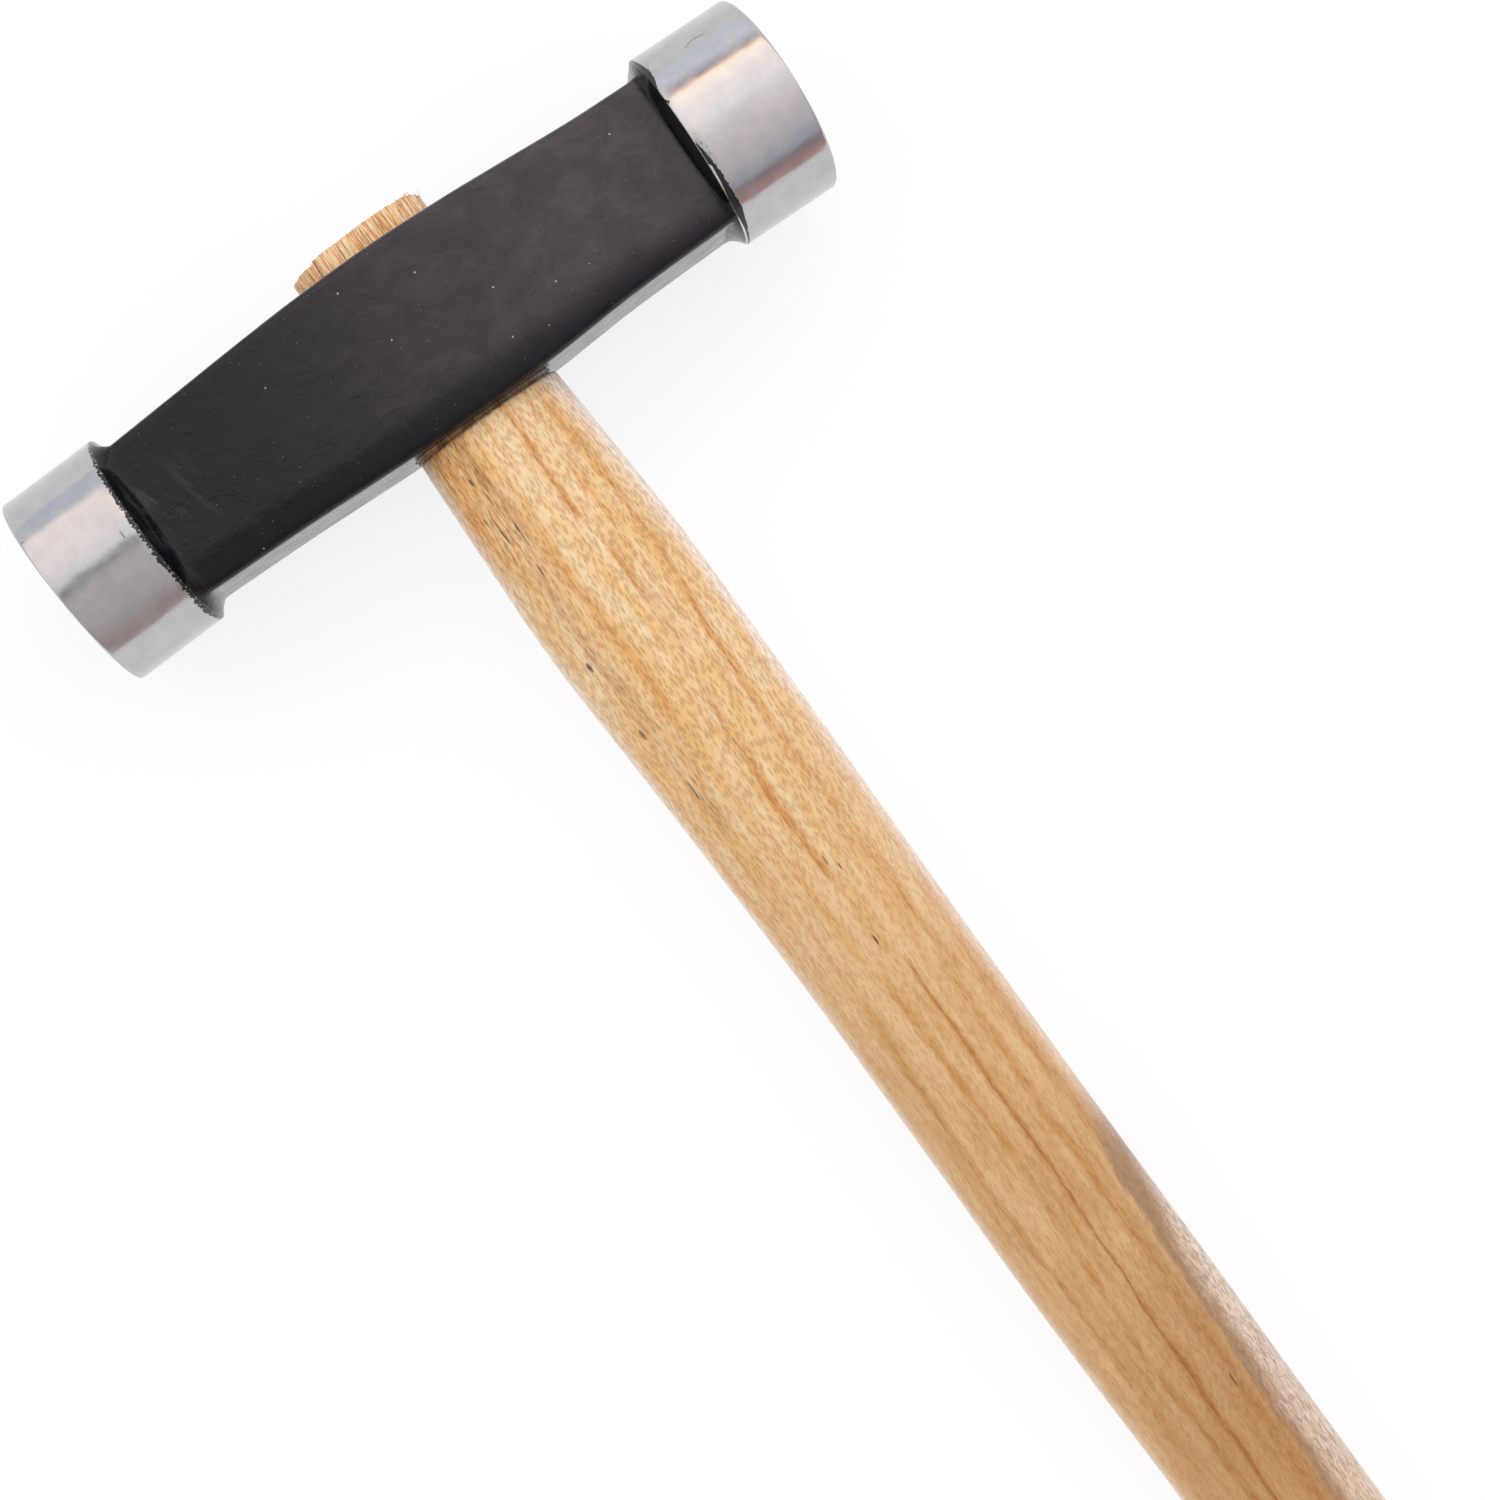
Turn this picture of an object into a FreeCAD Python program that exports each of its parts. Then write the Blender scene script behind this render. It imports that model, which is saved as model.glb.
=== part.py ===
import FreeCAD, Part
import math
import os
import re
import Sketcher

Vector = FreeCAD.Vector

# Planishing hammer lying on its side. While it is built, X runs along the head, Y from the
# handle to the top of the head and Z out of the upper cheek, with the middle of the eye at zero.

doc = FreeCAD.newDocument("planishing_hammer")
sheet = doc.addObject("Spreadsheet::Sheet", "Sizes")

SIZES = [
    # Head
    ("face_diameter", 27.5),
    ("head_length", 110.7),
    ("left_peen_length", 13.35),
    ("right_peen_length", 14.55),
    ("peen_droop_angle", 1.6),
    ("face_edge_round", 0.5),
    ("dome_height", 0.9),
    ("neck_length", 1.3),
    ("body_thickness", 18),
    ("body_corner_round", 1.5),
    ("quarter_offset", 20),
    ("left_end_top", 10.45),
    ("left_quarter_top", 11.72),
    ("middle_top", 12.33),
    ("right_quarter_top", 11.35),
    ("right_end_top", 10.25),
    ("end_bottom", 11.2),
    ("quarter_bottom", 11.68),
    ("middle_bottom", 12.3),
    # Eye and tenon
    ("eye_length", 20.8),
    ("eye_width", 10.6),
    ("eye_end_round", 4.2),
    ("tenon_clearance", 0.1),
    ("tenon_stand_out", 3.3),
    ("tenon_chunk_drop", 1.1),
    ("tenon_chunk_width", 4.4),
    ("tenon_saw_rise", 0.55),
    ("tenon_end_bevel", 1.1),
    # Wedges
    ("wooden_wedge_inset", 0.5),
    ("wooden_wedge_length", 15),
    ("wooden_wedge_head", 2.4),
    ("wooden_wedge_tip", 0.5),
    ("steel_wedge_inset", 1.4),
    ("steel_wedge_length", 9),
    ("steel_wedge_head", 1.8),
    ("steel_wedge_tip", 0.4),
    ("steel_wedge_sunk", 1.3),
    ("wedge_clearance", 0.05),
    ("split_width", 0.25),
    ("split_depth", 7),
    # Handle below the head
    ("shoulder_gap", 0.35),
    ("handle_length", 262),
    ("handle_lean_angle", 0.55),
    ("handle_shift", 0.35),
    ("shoulder_side_ledge", 0.2),
    ("shoulder_front_ledge", 0.5),
    ("throat_drop", 13),
    ("throat_width", 22.5),
    ("throat_thickness", 14.8),
    ("swell_drop", 30),
    ("swell_width", 23.75),
    ("swell_thickness", 17.4),
    ("waist_drop", 49),
    ("waist_width", 22.9),
    ("waist_thickness", 17.6),
    ("grip_drop", 110),
    ("grip_width", 21.9),
    ("grip_thickness", 17),
    ("palm_drop", 138),
    ("palm_width", 22.4),
    ("palm_thickness", 17.4),
    ("tail_drop", 190),
    ("tail_width", 21.9),
    ("tail_thickness", 17.2),
    ("butt_width", 22),
    ("butt_thickness", 17.2),
    ("butt_round", 3),
    ("side_roundness_share", 0.78),
    # One overrun serves every cut
    ("cut_overrun", 4),
]

for row, (alias, size) in enumerate(SIZES, start=1):
    sheet.set("A%d" % row, alias.replace("_", " "))
    sheet.set("B%d" % row, str(size))
    sheet.setAlias("B%d" % row, alias)
doc.recompute()


def value(text):
    """The number that an expression of sheet sizes gives now."""
    return float(sheet.evalExpression(text))


def bound(text):
    """The same expression for use outside the sheet: every word with an underscore is a size."""
    return re.sub(r"\w+_\w+", r"Sizes.\g<0>", text)


# Places that several pieces share, as expressions of the sizes
LEFT_RIM = "(head_length / 2 - left_peen_length)"
RIGHT_RIM = "(head_length / 2 - right_peen_length)"
LEFT_END = "(head_length / 2 - left_peen_length - neck_length)"
RIGHT_END = "(head_length / 2 - right_peen_length - neck_length)"
TENON_TOP = "(middle_top + tenon_stand_out)"
SHOULDER = "(middle_bottom + shoulder_gap)"
TENON_WIDTH = "(eye_length - 2 * tenon_clearance)"
TENON_THICKNESS = "(eye_width - 2 * tenon_clearance)"
SPLIT_X = "(tenon_chunk_width + tenon_clearance - eye_length / 2)"
STEEL_TOP = "(middle_top + tenon_stand_out - steel_wedge_sunk)"
STEEL_WIDTH = "(eye_width - 2 * tenon_clearance - 2 * steel_wedge_inset)"


def new_body(label):
    body = doc.addObject("PartDesign::Body", label)
    body.Label = label
    return body


def new_sketch(body, role, name, offset="0"):
    """A sketch parallel to one of the body's origin planes, moved along the plane's normal."""
    plane = [feature for feature in body.Origin.OriginFeatures if feature.Role == role][0]
    sketch = body.newObject("Sketcher::SketchObject", name)
    sketch.AttachmentSupport = [(plane, "")]
    sketch.MapMode = "FlatFace"
    sketch.AttachmentOffset = FreeCAD.Placement(Vector(0, 0, value(offset)), FreeCAD.Rotation())
    if offset != "0":
        sketch.setExpression("AttachmentOffset.Base.z", bound(offset))
    return sketch


def constrain(sketch, kind, places, expression):
    """Adds one constraint whose size follows an expression."""
    index = sketch.addConstraint(Sketcher.Constraint(kind, *places, value(expression)))
    sketch.setExpression("Constraints[%d]" % index, bound(expression))


def place_point(sketch, geometry, end, x, y):
    """Ties one point of a sketch to its distances from the origin."""
    constrain(sketch, "DistanceX", (-1, 1, geometry, end), x)
    constrain(sketch, "DistanceY", (-1, 1, geometry, end), y)


def draw_polygon(sketch, corners):
    """A closed outline of straight lines through corners given as pairs of expressions."""
    points = [Vector(value(x), value(y), 0) for x, y in corners]
    count = len(points)
    for index in range(count):
        sketch.addGeometry(Part.LineSegment(points[index], points[(index + 1) % count]), False)
    for index in range(count):
        sketch.addConstraint(Sketcher.Constraint("Coincident", index, 2, (index + 1) % count, 1))
    for index, (x, y) in enumerate(corners):
        place_point(sketch, index, 1, x, y)


def draw_oval(sketch, centre, half_width, half_thickness, side_round):
    """A four-arc oval: two small arcs at its sides and two large ones at front and back."""
    front = ("(((%s) - (%s)) ^ 2 + (%s) ^ 2 - (%s) ^ 2) / (2 * ((%s) - (%s)))"
             % (half_width, side_round, half_thickness, side_round, half_thickness, side_round))
    middle = value(centre)
    small = value(side_round)
    large = value(front)
    reach = value(half_width) - small
    rise = large - value(half_thickness)
    turn = math.atan2(rise, reach)
    normal = Vector(0, 0, 1)
    arcs = [
        (Vector(middle + reach, 0, 0), small, -turn, turn),
        (Vector(middle, -rise, 0), large, turn, math.pi - turn),
        (Vector(middle - reach, 0, 0), small, math.pi - turn, math.pi + turn),
        (Vector(middle, rise, 0), large, math.pi + turn, 2 * math.pi - turn),
    ]
    for place, radius, start, end in arcs:
        sketch.addGeometry(Part.ArcOfCircle(Part.Circle(place, normal, radius), start, end), False)
    for index in range(4):
        sketch.addConstraint(Sketcher.Constraint("Tangent", index, 2, (index + 1) % 4, 1))
    place_point(sketch, 0, 3, "%s + %s - %s" % (centre, half_width, side_round), "0")
    place_point(sketch, 2, 3, "%s - (%s) + %s" % (centre, half_width, side_round), "0")
    for index in range(4):
        constrain(sketch, "Radius", (index,), front if index % 2 else side_round)


def draw_rounded_rectangle(sketch, low, high, half_height, corner):
    """A rectangle from low to high and half_height each way, with round corners."""
    left = value(low)
    right = value(high)
    top = value(half_height)
    radius = value(corner)
    normal = Vector(0, 0, 1)
    quarter = math.pi / 2
    centres = [(right - radius, top - radius), (left + radius, top - radius),
               (left + radius, radius - top), (right - radius, radius - top)]
    sides = [((right, radius - top), (right, top - radius)), ((right - radius, top), (left + radius, top)),
             ((left, top - radius), (left, radius - top)), ((left + radius, -top), (right - radius, -top))]
    for index in range(4):
        start, end = sides[index]
        centre = Vector(*centres[index], 0)
        sketch.addGeometry(Part.LineSegment(Vector(*start, 0), Vector(*end, 0)), False)
        circle = Part.Circle(centre, normal, radius)
        sketch.addGeometry(Part.ArcOfCircle(circle, index * quarter, (index + 1) * quarter), False)
    for index in range(8):
        sketch.addConstraint(Sketcher.Constraint("Tangent", index, 2, (index + 1) % 8, 1))
    for index in range(4):
        sketch.addConstraint(Sketcher.Constraint("Horizontal" if index % 2 else "Vertical", 2 * index))
        constrain(sketch, "Radius", (2 * index + 1,), corner)
    constrain(sketch, "DistanceX", (-1, 1, 0, 1), high)
    constrain(sketch, "DistanceY", (-1, 1, 2, 1), half_height)
    constrain(sketch, "DistanceX", (-1, 1, 4, 1), low)
    constrain(sketch, "DistanceY", (-1, 1, 6, 1), "-(%s)" % half_height)


def add_loft(body, name, sections):
    loft = body.newObject("PartDesign::AdditiveLoft", name)
    loft.Profile = sections[0]
    loft.Sections = sections[1:]
    doc.recompute()
    return loft


def add_cut(body, name, sketch, length=None):
    """A pocket to both sides of its sketch, right through unless a length is given."""
    before = body.Shape.Volume
    pocket = body.newObject("PartDesign::Pocket", name)
    pocket.Profile = sketch
    pocket.SideType = "Symmetric"
    if length is None:
        pocket.Type = "ThroughAll"
    else:
        pocket.Type = "Length"
        pocket.setExpression("Length", bound(length))
    doc.recompute()
    if body.Shape.Volume >= before:
        raise RuntimeError("the cut %s removes nothing" % name)
    return pocket


def add_pad(body, name, sketch, length):
    """A pad to both sides of its sketch."""
    pad = body.newObject("PartDesign::Pad", name)
    pad.Profile = sketch
    pad.SideType = "Symmetric"
    pad.setExpression("Length", bound(length))
    doc.recompute()
    return pad


# Head

def rim_sketch(body, name, rim, side):
    """The circle where a neck meets its peen, on a plane that leans with the peen."""
    sketch = new_sketch(body, "YZ_Plane", name, rim if side > 0 else "-" + rim)
    lean = FreeCAD.Rotation(Vector(0, -side, 0), value("peen_droop_angle"))
    sketch.AttachmentOffset = FreeCAD.Placement(sketch.AttachmentOffset.Base, lean)
    sketch.setExpression("AttachmentOffset.Rotation.Angle", bound("peen_droop_angle"))
    sketch.addGeometry(Part.Circle(Vector(0, 0, 0), Vector(0, 0, 1), value("face_diameter / 2")), False)
    place_point(sketch, 0, 3, "0", "0")
    constrain(sketch, "Radius", (0,), "face_diameter / 2")
    return sketch


def peen_sketch(body, name, rim, side, length, dome):
    """Half the peen's outline: X runs out along the peen from its rim and Y from its axis."""
    sketch = new_sketch(body, "XY_Plane", name)
    turn = "peen_droop_angle" if side > 0 else "180 + peen_droop_angle"
    lean = FreeCAD.Rotation(Vector(0, 0, -side), value(turn))
    sketch.AttachmentOffset = FreeCAD.Placement(Vector(side * value(rim), 0, 0), lean)
    sketch.setExpression("AttachmentOffset.Base.x", bound(rim if side > 0 else "-" + rim))
    sketch.setExpression("AttachmentOffset.Rotation.Angle", bound(turn))
    radius = value("face_diameter / 2")
    edge = value("face_edge_round")
    long = value(length)
    tip = long + value(dome)
    flat = radius - edge
    normal = Vector(0, 0, 1)
    sketch.addGeometry(Part.LineSegment(Vector(0, 0, 0), Vector(0, radius, 0)), False)
    sketch.addGeometry(Part.LineSegment(Vector(0, radius, 0), Vector(long - edge, radius, 0)), False)
    corner = Part.Circle(Vector(long - edge, flat, 0), normal, edge)
    sketch.addGeometry(Part.ArcOfCircle(corner, 0, math.pi / 2), False)
    if tip > long:
        ball = (flat ** 2 + (tip - long) ** 2) / (2 * (tip - long))
        crown = Part.Circle(Vector(tip - ball, 0, 0), normal, ball)
        sketch.addGeometry(Part.ArcOfCircle(crown, 0, math.asin(flat / ball)), False)
    else:
        sketch.addGeometry(Part.LineSegment(Vector(long, 0, 0), Vector(long, flat, 0)), False)
    sketch.addGeometry(Part.LineSegment(Vector(tip, 0, 0), Vector(0, 0, 0)), False)
    sketch.addConstraint(Sketcher.Constraint("Coincident", 0, 2, 1, 1))
    sketch.addConstraint(Sketcher.Constraint("Tangent", 1, 2, 2, 2))
    sketch.addConstraint(Sketcher.Constraint("Coincident", 2, 1, 3, 2))
    sketch.addConstraint(Sketcher.Constraint("Coincident", 3, 1, 4, 1))
    sketch.addConstraint(Sketcher.Constraint("Coincident", 4, 2, 0, 1))
    place_point(sketch, 0, 1, "0", "0")
    place_point(sketch, 1, 1, "0", "face_diameter / 2")
    place_point(sketch, 1, 2, "%s - face_edge_round" % length, "face_diameter / 2")
    place_point(sketch, 3, 2, length, "face_diameter / 2 - face_edge_round")
    place_point(sketch, 4, 1, "%s + %s" % (length, dome), "0")
    if tip > long:
        constrain(sketch, "DistanceY", (-1, 1, 3, 3), "0")
    return sketch


def add_peen(body, name, base_top, end, rim, side, length, dome):
    """The neck that flares from the body's end to the rim, and the round peen beyond it."""
    base = new_sketch(body, "YZ_Plane", name + "_neck_base", end if side > 0 else "-" + end)
    draw_rounded_rectangle(base, "-end_bottom", base_top, "body_thickness / 2", "body_corner_round")
    add_loft(body, name + "_neck", [base, rim_sketch(body, name + "_rim", rim, side)])
    sketch = peen_sketch(body, name + "_peen_outline", rim, side, length, dome)
    peen = body.newObject("PartDesign::Revolution", name + "_peen")
    peen.Profile = sketch
    peen.ReferenceAxis = (sketch, ["H_Axis"])
    doc.recompute()


def make_head():
    body = new_body("hammer_head")
    stations = [
        ("left_end", "-" + LEFT_END, "end_bottom", "left_end_top"),
        ("left_quarter", "-quarter_offset", "quarter_bottom", "left_quarter_top"),
        ("middle", "0", "middle_bottom", "middle_top"),
        ("right_quarter", "quarter_offset", "quarter_bottom", "right_quarter_top"),
        ("right_end", RIGHT_END, "end_bottom", "right_end_top"),
    ]
    sections = []
    for name, place, bottom, top in stations:
        sketch = new_sketch(body, "YZ_Plane", name + "_section", place)
        draw_rounded_rectangle(sketch, "-" + bottom, top, "body_thickness / 2", "body_corner_round")
        sections.append(sketch)
    add_loft(body, "bowed_body", sections)
    add_peen(body, "left", "left_end_top", LEFT_END, LEFT_RIM, -1, "left_peen_length", "0")
    add_peen(body, "right", "right_end_top", RIGHT_END, RIGHT_RIM, 1, "right_peen_length", "dome_height")
    eye = new_sketch(body, "XZ_Plane", "eye_outline")
    draw_oval(eye, "0", "eye_length / 2", "eye_width / 2", "eye_end_round")
    add_cut(body, "eye", eye)
    return body


# Handle

def cut_saw_end(body):
    """Takes off what stands above the rough saw cut, lower at the split chunk and the right end."""
    reach = "(eye_length / 2 + cut_overrun)"
    chunk = "%s - tenon_chunk_drop" % TENON_TOP
    above = "%s + cut_overrun" % TENON_TOP
    outline = new_sketch(body, "XY_Plane", "saw_cut_outline")
    draw_polygon(outline, [
        ("-" + reach, chunk + " - tenon_saw_rise"),
        (SPLIT_X, chunk),
        (SPLIT_X, "%s - tenon_saw_rise" % TENON_TOP),
        ("eye_length / 2 - 2 * tenon_end_bevel", TENON_TOP),
        ("eye_length / 2", "%s - tenon_end_bevel" % TENON_TOP),
        (reach, "%s - tenon_end_bevel" % TENON_TOP),
        (reach, above),
        ("-" + reach, above),
    ])
    add_cut(body, "saw_cut", outline)


def wedge_corners(middle, top, length, head, tip, clearance, overrun):
    """A wedge's outline with its head at the top, or the slot that clears it."""
    wide = "(%s / 2 + %s)" % (head, clearance)
    narrow = "(%s / 2 + %s)" % (tip, clearance)
    foot = "%s - %s - %s" % (top, length, clearance)
    crown = "%s + %s" % (top, overrun)
    return [
        ("%s - %s" % (middle, narrow), foot),
        ("%s + %s" % (middle, narrow), foot),
        ("%s + %s" % (middle, wide), top),
        ("%s + %s" % (middle, wide), crown),
        ("%s - %s" % (middle, wide), crown),
        ("%s - %s" % (middle, wide), top),
    ]


def cut_steel_wedge_slot(body):
    outline = new_sketch(body, "XY_Plane", "steel_wedge_slot_outline")
    draw_polygon(outline, wedge_corners(SPLIT_X, STEEL_TOP, "steel_wedge_length", "steel_wedge_head",
                                        "steel_wedge_tip", "wedge_clearance", "cut_overrun"))
    add_cut(body, "steel_wedge_slot", outline, "%s + 2 * wedge_clearance" % STEEL_WIDTH)


def grip_section(body, station):
    """An oval across the handle, a drop below its shoulder and on its slightly leaning axis."""
    drop, width, thickness = station
    level = "%s + %s" % (SHOULDER, drop)
    sketch = new_sketch(body, "XZ_Plane", "grip_section", level)
    centre = "handle_shift + (%s) * tan(handle_lean_angle)" % level
    draw_oval(sketch, centre, "(%s) / 2" % width, "(%s) / 2" % thickness,
              "(%s) / 2 * side_roundness_share" % thickness)
    return sketch


def add_tenon(body):
    """The tenon through the eye, its kerf, the steel wedge's slot and the split beside it."""
    tenon = new_sketch(body, "XZ_Plane", "tenon_outline", "(%s - %s) / 2" % (SHOULDER, TENON_TOP))
    draw_oval(tenon, "0", "%s / 2" % TENON_WIDTH, "%s / 2" % TENON_THICKNESS,
              "eye_end_round - tenon_clearance")
    add_pad(body, "tenon", tenon, "%s + %s" % (SHOULDER, TENON_TOP))
    kerf = new_sketch(body, "YZ_Plane", "kerf_outline")
    corners = wedge_corners("0", TENON_TOP, "wooden_wedge_length", "wooden_wedge_head",
                            "wooden_wedge_tip", "wedge_clearance", "cut_overrun")
    draw_polygon(kerf, [(along, across) for across, along in corners])
    add_cut(body, "kerf", kerf, "eye_length")
    cut_steel_wedge_slot(body)
    split = new_sketch(body, "XY_Plane", "split_outline")
    draw_polygon(split, [
        ("%s - split_width / 2" % SPLIT_X, "%s - split_depth" % TENON_TOP),
        ("%s + split_width / 2" % SPLIT_X, "%s - split_depth" % TENON_TOP),
        ("%s + split_width / 2" % SPLIT_X, "%s + cut_overrun" % TENON_TOP),
        ("%s - split_width / 2" % SPLIT_X, "%s + cut_overrun" % TENON_TOP),
    ])
    add_cut(body, "split", split)
    cut_saw_end(body)


def add_grip(body):
    """The grip below the shoulder, with midway ovals from the waist to the butt."""
    stations = [
        ("0", "eye_length + 2 * shoulder_side_ledge", "eye_width + 2 * shoulder_front_ledge"),
        ("throat_drop", "throat_width", "throat_thickness"),
        ("swell_drop", "swell_width", "swell_thickness"),
        ("waist_drop", "waist_width", "waist_thickness"),
        ("grip_drop", "grip_width", "grip_thickness"),
        ("palm_drop", "palm_width", "palm_thickness"),
        ("tail_drop", "tail_width", "tail_thickness"),
        ("handle_length", "butt_width", "butt_thickness"),
    ]
    sections = [grip_section(body, station) for station in stations[:4]]
    for before, after in zip(stations[3:], stations[4:]):
        sections.append(grip_section(body, ["(%s + %s) / 2" % pair for pair in zip(before, after)]))
        sections.append(grip_section(body, after))
    add_loft(body, "grip", sections)


def make_handle():
    body = new_body("handle")
    add_tenon(body)
    add_grip(body)
    round_butt(body)
    return body


def round_butt(body):
    """Rounds the edge of the handle's far end."""
    base = body.Tip
    end = -value("%s + handle_length" % SHOULDER)
    names = []
    for index, edge in enumerate(base.Shape.Edges, start=1):
        if all(abs(vertex.Y - end) < value("butt_round") / 100 for vertex in edge.Vertexes):
            names.append("Edge%d" % index)
    rounding = body.newObject("PartDesign::Fillet", "butt_rounding")
    rounding.Base = (base, names)
    rounding.setExpression("Radius", bound("butt_round"))
    doc.recompute()


# Wedges

def make_wooden_wedge():
    body = new_body("wooden_wedge")
    outline = new_sketch(body, "YZ_Plane", "wedge_outline")
    corners = wedge_corners("0", TENON_TOP, "wooden_wedge_length", "wooden_wedge_head",
                            "wooden_wedge_tip", "0", "0")
    corners = corners[:3] + corners[5:]
    draw_polygon(outline, [(along, across) for across, along in corners])
    add_pad(body, "wedge", outline, "%s - 2 * wooden_wedge_inset" % TENON_WIDTH)
    cut_steel_wedge_slot(body)
    cut_saw_end(body)
    return body


def make_steel_wedge():
    body = new_body("steel_wedge")
    outline = new_sketch(body, "XY_Plane", "wedge_outline")
    corners = wedge_corners(SPLIT_X, STEEL_TOP, "steel_wedge_length", "steel_wedge_head",
                            "steel_wedge_tip", "0", "0")
    draw_polygon(outline, corners[:3] + corners[5:])
    add_pad(body, "wedge", outline, STEEL_WIDTH)
    return body


def lying_turn():
    """The turn about X, in degrees, that lets the peens and the butt rest on one level."""
    reach = value("%s + handle_length - butt_round" % SHOULDER)
    half = value("butt_thickness / 2")
    radius = value("face_diameter / 2")
    return math.degrees(math.asin(radius / math.hypot(reach, half)) - math.atan2(half, reach))


def check(bodies):
    for thing in doc.Objects:
        if "Invalid" in thing.State or "Error" in thing.State:
            raise RuntimeError("%s did not build" % thing.Name)
    for body in bodies:
        if body.Shape.isNull() or not body.Shape.isValid():
            raise RuntimeError("%s has a bad shape" % body.Label)
        if len(body.Shape.Solids) != 1:
            raise RuntimeError("%s is not one solid" % body.Label)


bodies = [make_head(), make_handle(), make_wooden_wedge(), make_steel_wedge()]
doc.recompute()
check(bodies)

# The hammer lies on its side: turned onto its butt, then set down with the middle of its box at zero
turn = FreeCAD.Placement(Vector(0, 0, 0), FreeCAD.Rotation(Vector(1, 0, 0), lying_turn()))
for body in bodies:
    body.Placement = turn
doc.recompute()
box = Part.makeCompound([body.Shape for body in bodies]).optimalBoundingBox(False)
shift = Vector(-(box.XMin + box.XMax) / 2, -(box.YMin + box.YMax) / 2, -box.ZMin)
for body in bodies:
    body.Placement = FreeCAD.Placement(shift, turn.Rotation)
doc.recompute()
check(bodies)

os.makedirs("parts", exist_ok=True)
for body in bodies:
    body.Shape.exportStep("parts/%s.step" % body.Label)
    size = body.Shape.optimalBoundingBox(False)
    print(body.Label, "volume", round(body.Shape.Volume, 1), "x", round(size.XMin, 2), round(size.XMax, 2),
          "y", round(size.YMin, 2), round(size.YMax, 2), "z", round(size.ZMin, 3), round(size.ZMax, 3))
print("turn", round(turn.Rotation.Angle * 180 / math.pi, 4), "shift", shift)
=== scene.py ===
import math

import bmesh
import bpy
from mathutils import Matrix, Vector, noise


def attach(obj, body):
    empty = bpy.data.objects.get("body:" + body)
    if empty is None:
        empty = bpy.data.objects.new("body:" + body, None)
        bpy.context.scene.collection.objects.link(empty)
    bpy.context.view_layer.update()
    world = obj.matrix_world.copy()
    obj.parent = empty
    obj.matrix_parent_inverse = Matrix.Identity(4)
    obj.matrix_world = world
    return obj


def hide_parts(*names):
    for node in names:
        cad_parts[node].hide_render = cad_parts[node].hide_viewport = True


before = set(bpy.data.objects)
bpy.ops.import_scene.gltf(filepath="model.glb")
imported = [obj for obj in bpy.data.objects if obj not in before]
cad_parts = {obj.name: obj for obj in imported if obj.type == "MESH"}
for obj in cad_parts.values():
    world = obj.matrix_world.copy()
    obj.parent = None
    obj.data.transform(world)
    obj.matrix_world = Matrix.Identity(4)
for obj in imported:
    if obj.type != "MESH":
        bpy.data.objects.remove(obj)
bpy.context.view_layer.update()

# Sizes are in millimetres. While a piece is made, X runs along the head, Y from the handle to
# the top of the head and Z out of the upper cheek, with the middle of the eye at zero.
MM = 0.001

# Where the eye's middle lies in the row frame, and the turn that lays the butt down
EYE_PLACE = Vector((-0.284, 129.507, 13.757))
REST_TURN = math.radians(1.0866)
LYING = Matrix.Translation(EYE_PLACE) @ Matrix.Rotation(REST_TURN, 4, "X")

# Head. A rim is its place on the head's axis and its lean along Y and along Z; a rounded
# corner is its depth along Y and along Z.
FACE_RADIUS = 13.748
DROOP = math.radians(1.6)
LEFT_RIM = (-41.9, 0.0033, -0.034)
RIGHT_RIM = (41.3, 0.028, -0.068)
LEFT_PEEN = 13.44
RIGHT_PEEN = 14.05
DOME = 0.9
FACE_ROUND = 0.45
RIM_ROUND = 0.3
LEFT_END = -40.7
RIGHT_END = 39.6
CHEEK = 9.0
TOP_ROUND = (1.2, 1.0)
BOTTOM_ROUND = (4.4, 2.1)
BODY_TOP = ((-40.7, 10.45), (-30, 11.13), (-20, 11.76), (-11, 12.2), (0, 12.36), (11, 11.95),
            (20, 11.33), (30, 10.6), (39.5, 10.25))
BODY_BOTTOM = ((-40.7, -11.15), (-26, -11.48), (-11, -12.08), (0, -12.28), (12, -12.07),
               (24, -11.42), (39.5, -11.22))
# Each neck: where it leaves the body at its bottom, cheek and top, how hollow it is there, and how
# many degrees round the rim the body's corners are led, as (from, to)
LEFT_NECK = ((-40.3, LEFT_END, -39.8), (1.0, 1.5, 1.3),
             ((0, 0), (35, 19), (41, 27), (46.5, 47), (60, 60), (90, 90)))
RIGHT_NECK = ((39.5, RIGHT_END, 38.7), (1.0, 1.5, 1.05), ((0, 0), (45, 45), (90, 90)))

# Eye: its mouths are heights along it, with 1 where the chamfer is open
EYE_HALF_LENGTH = 10.4
EYE_HALF_WIDTH = 5.3
EYE_SIDE_ROUND = 4.2
EYE_CHAMFER = 0.35
EYE_MOUTHS = ((-16, 1), (-12.6, 1), (-11.6, 0), (11.7, 0), (12.7, 1), (16, 1))

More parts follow.
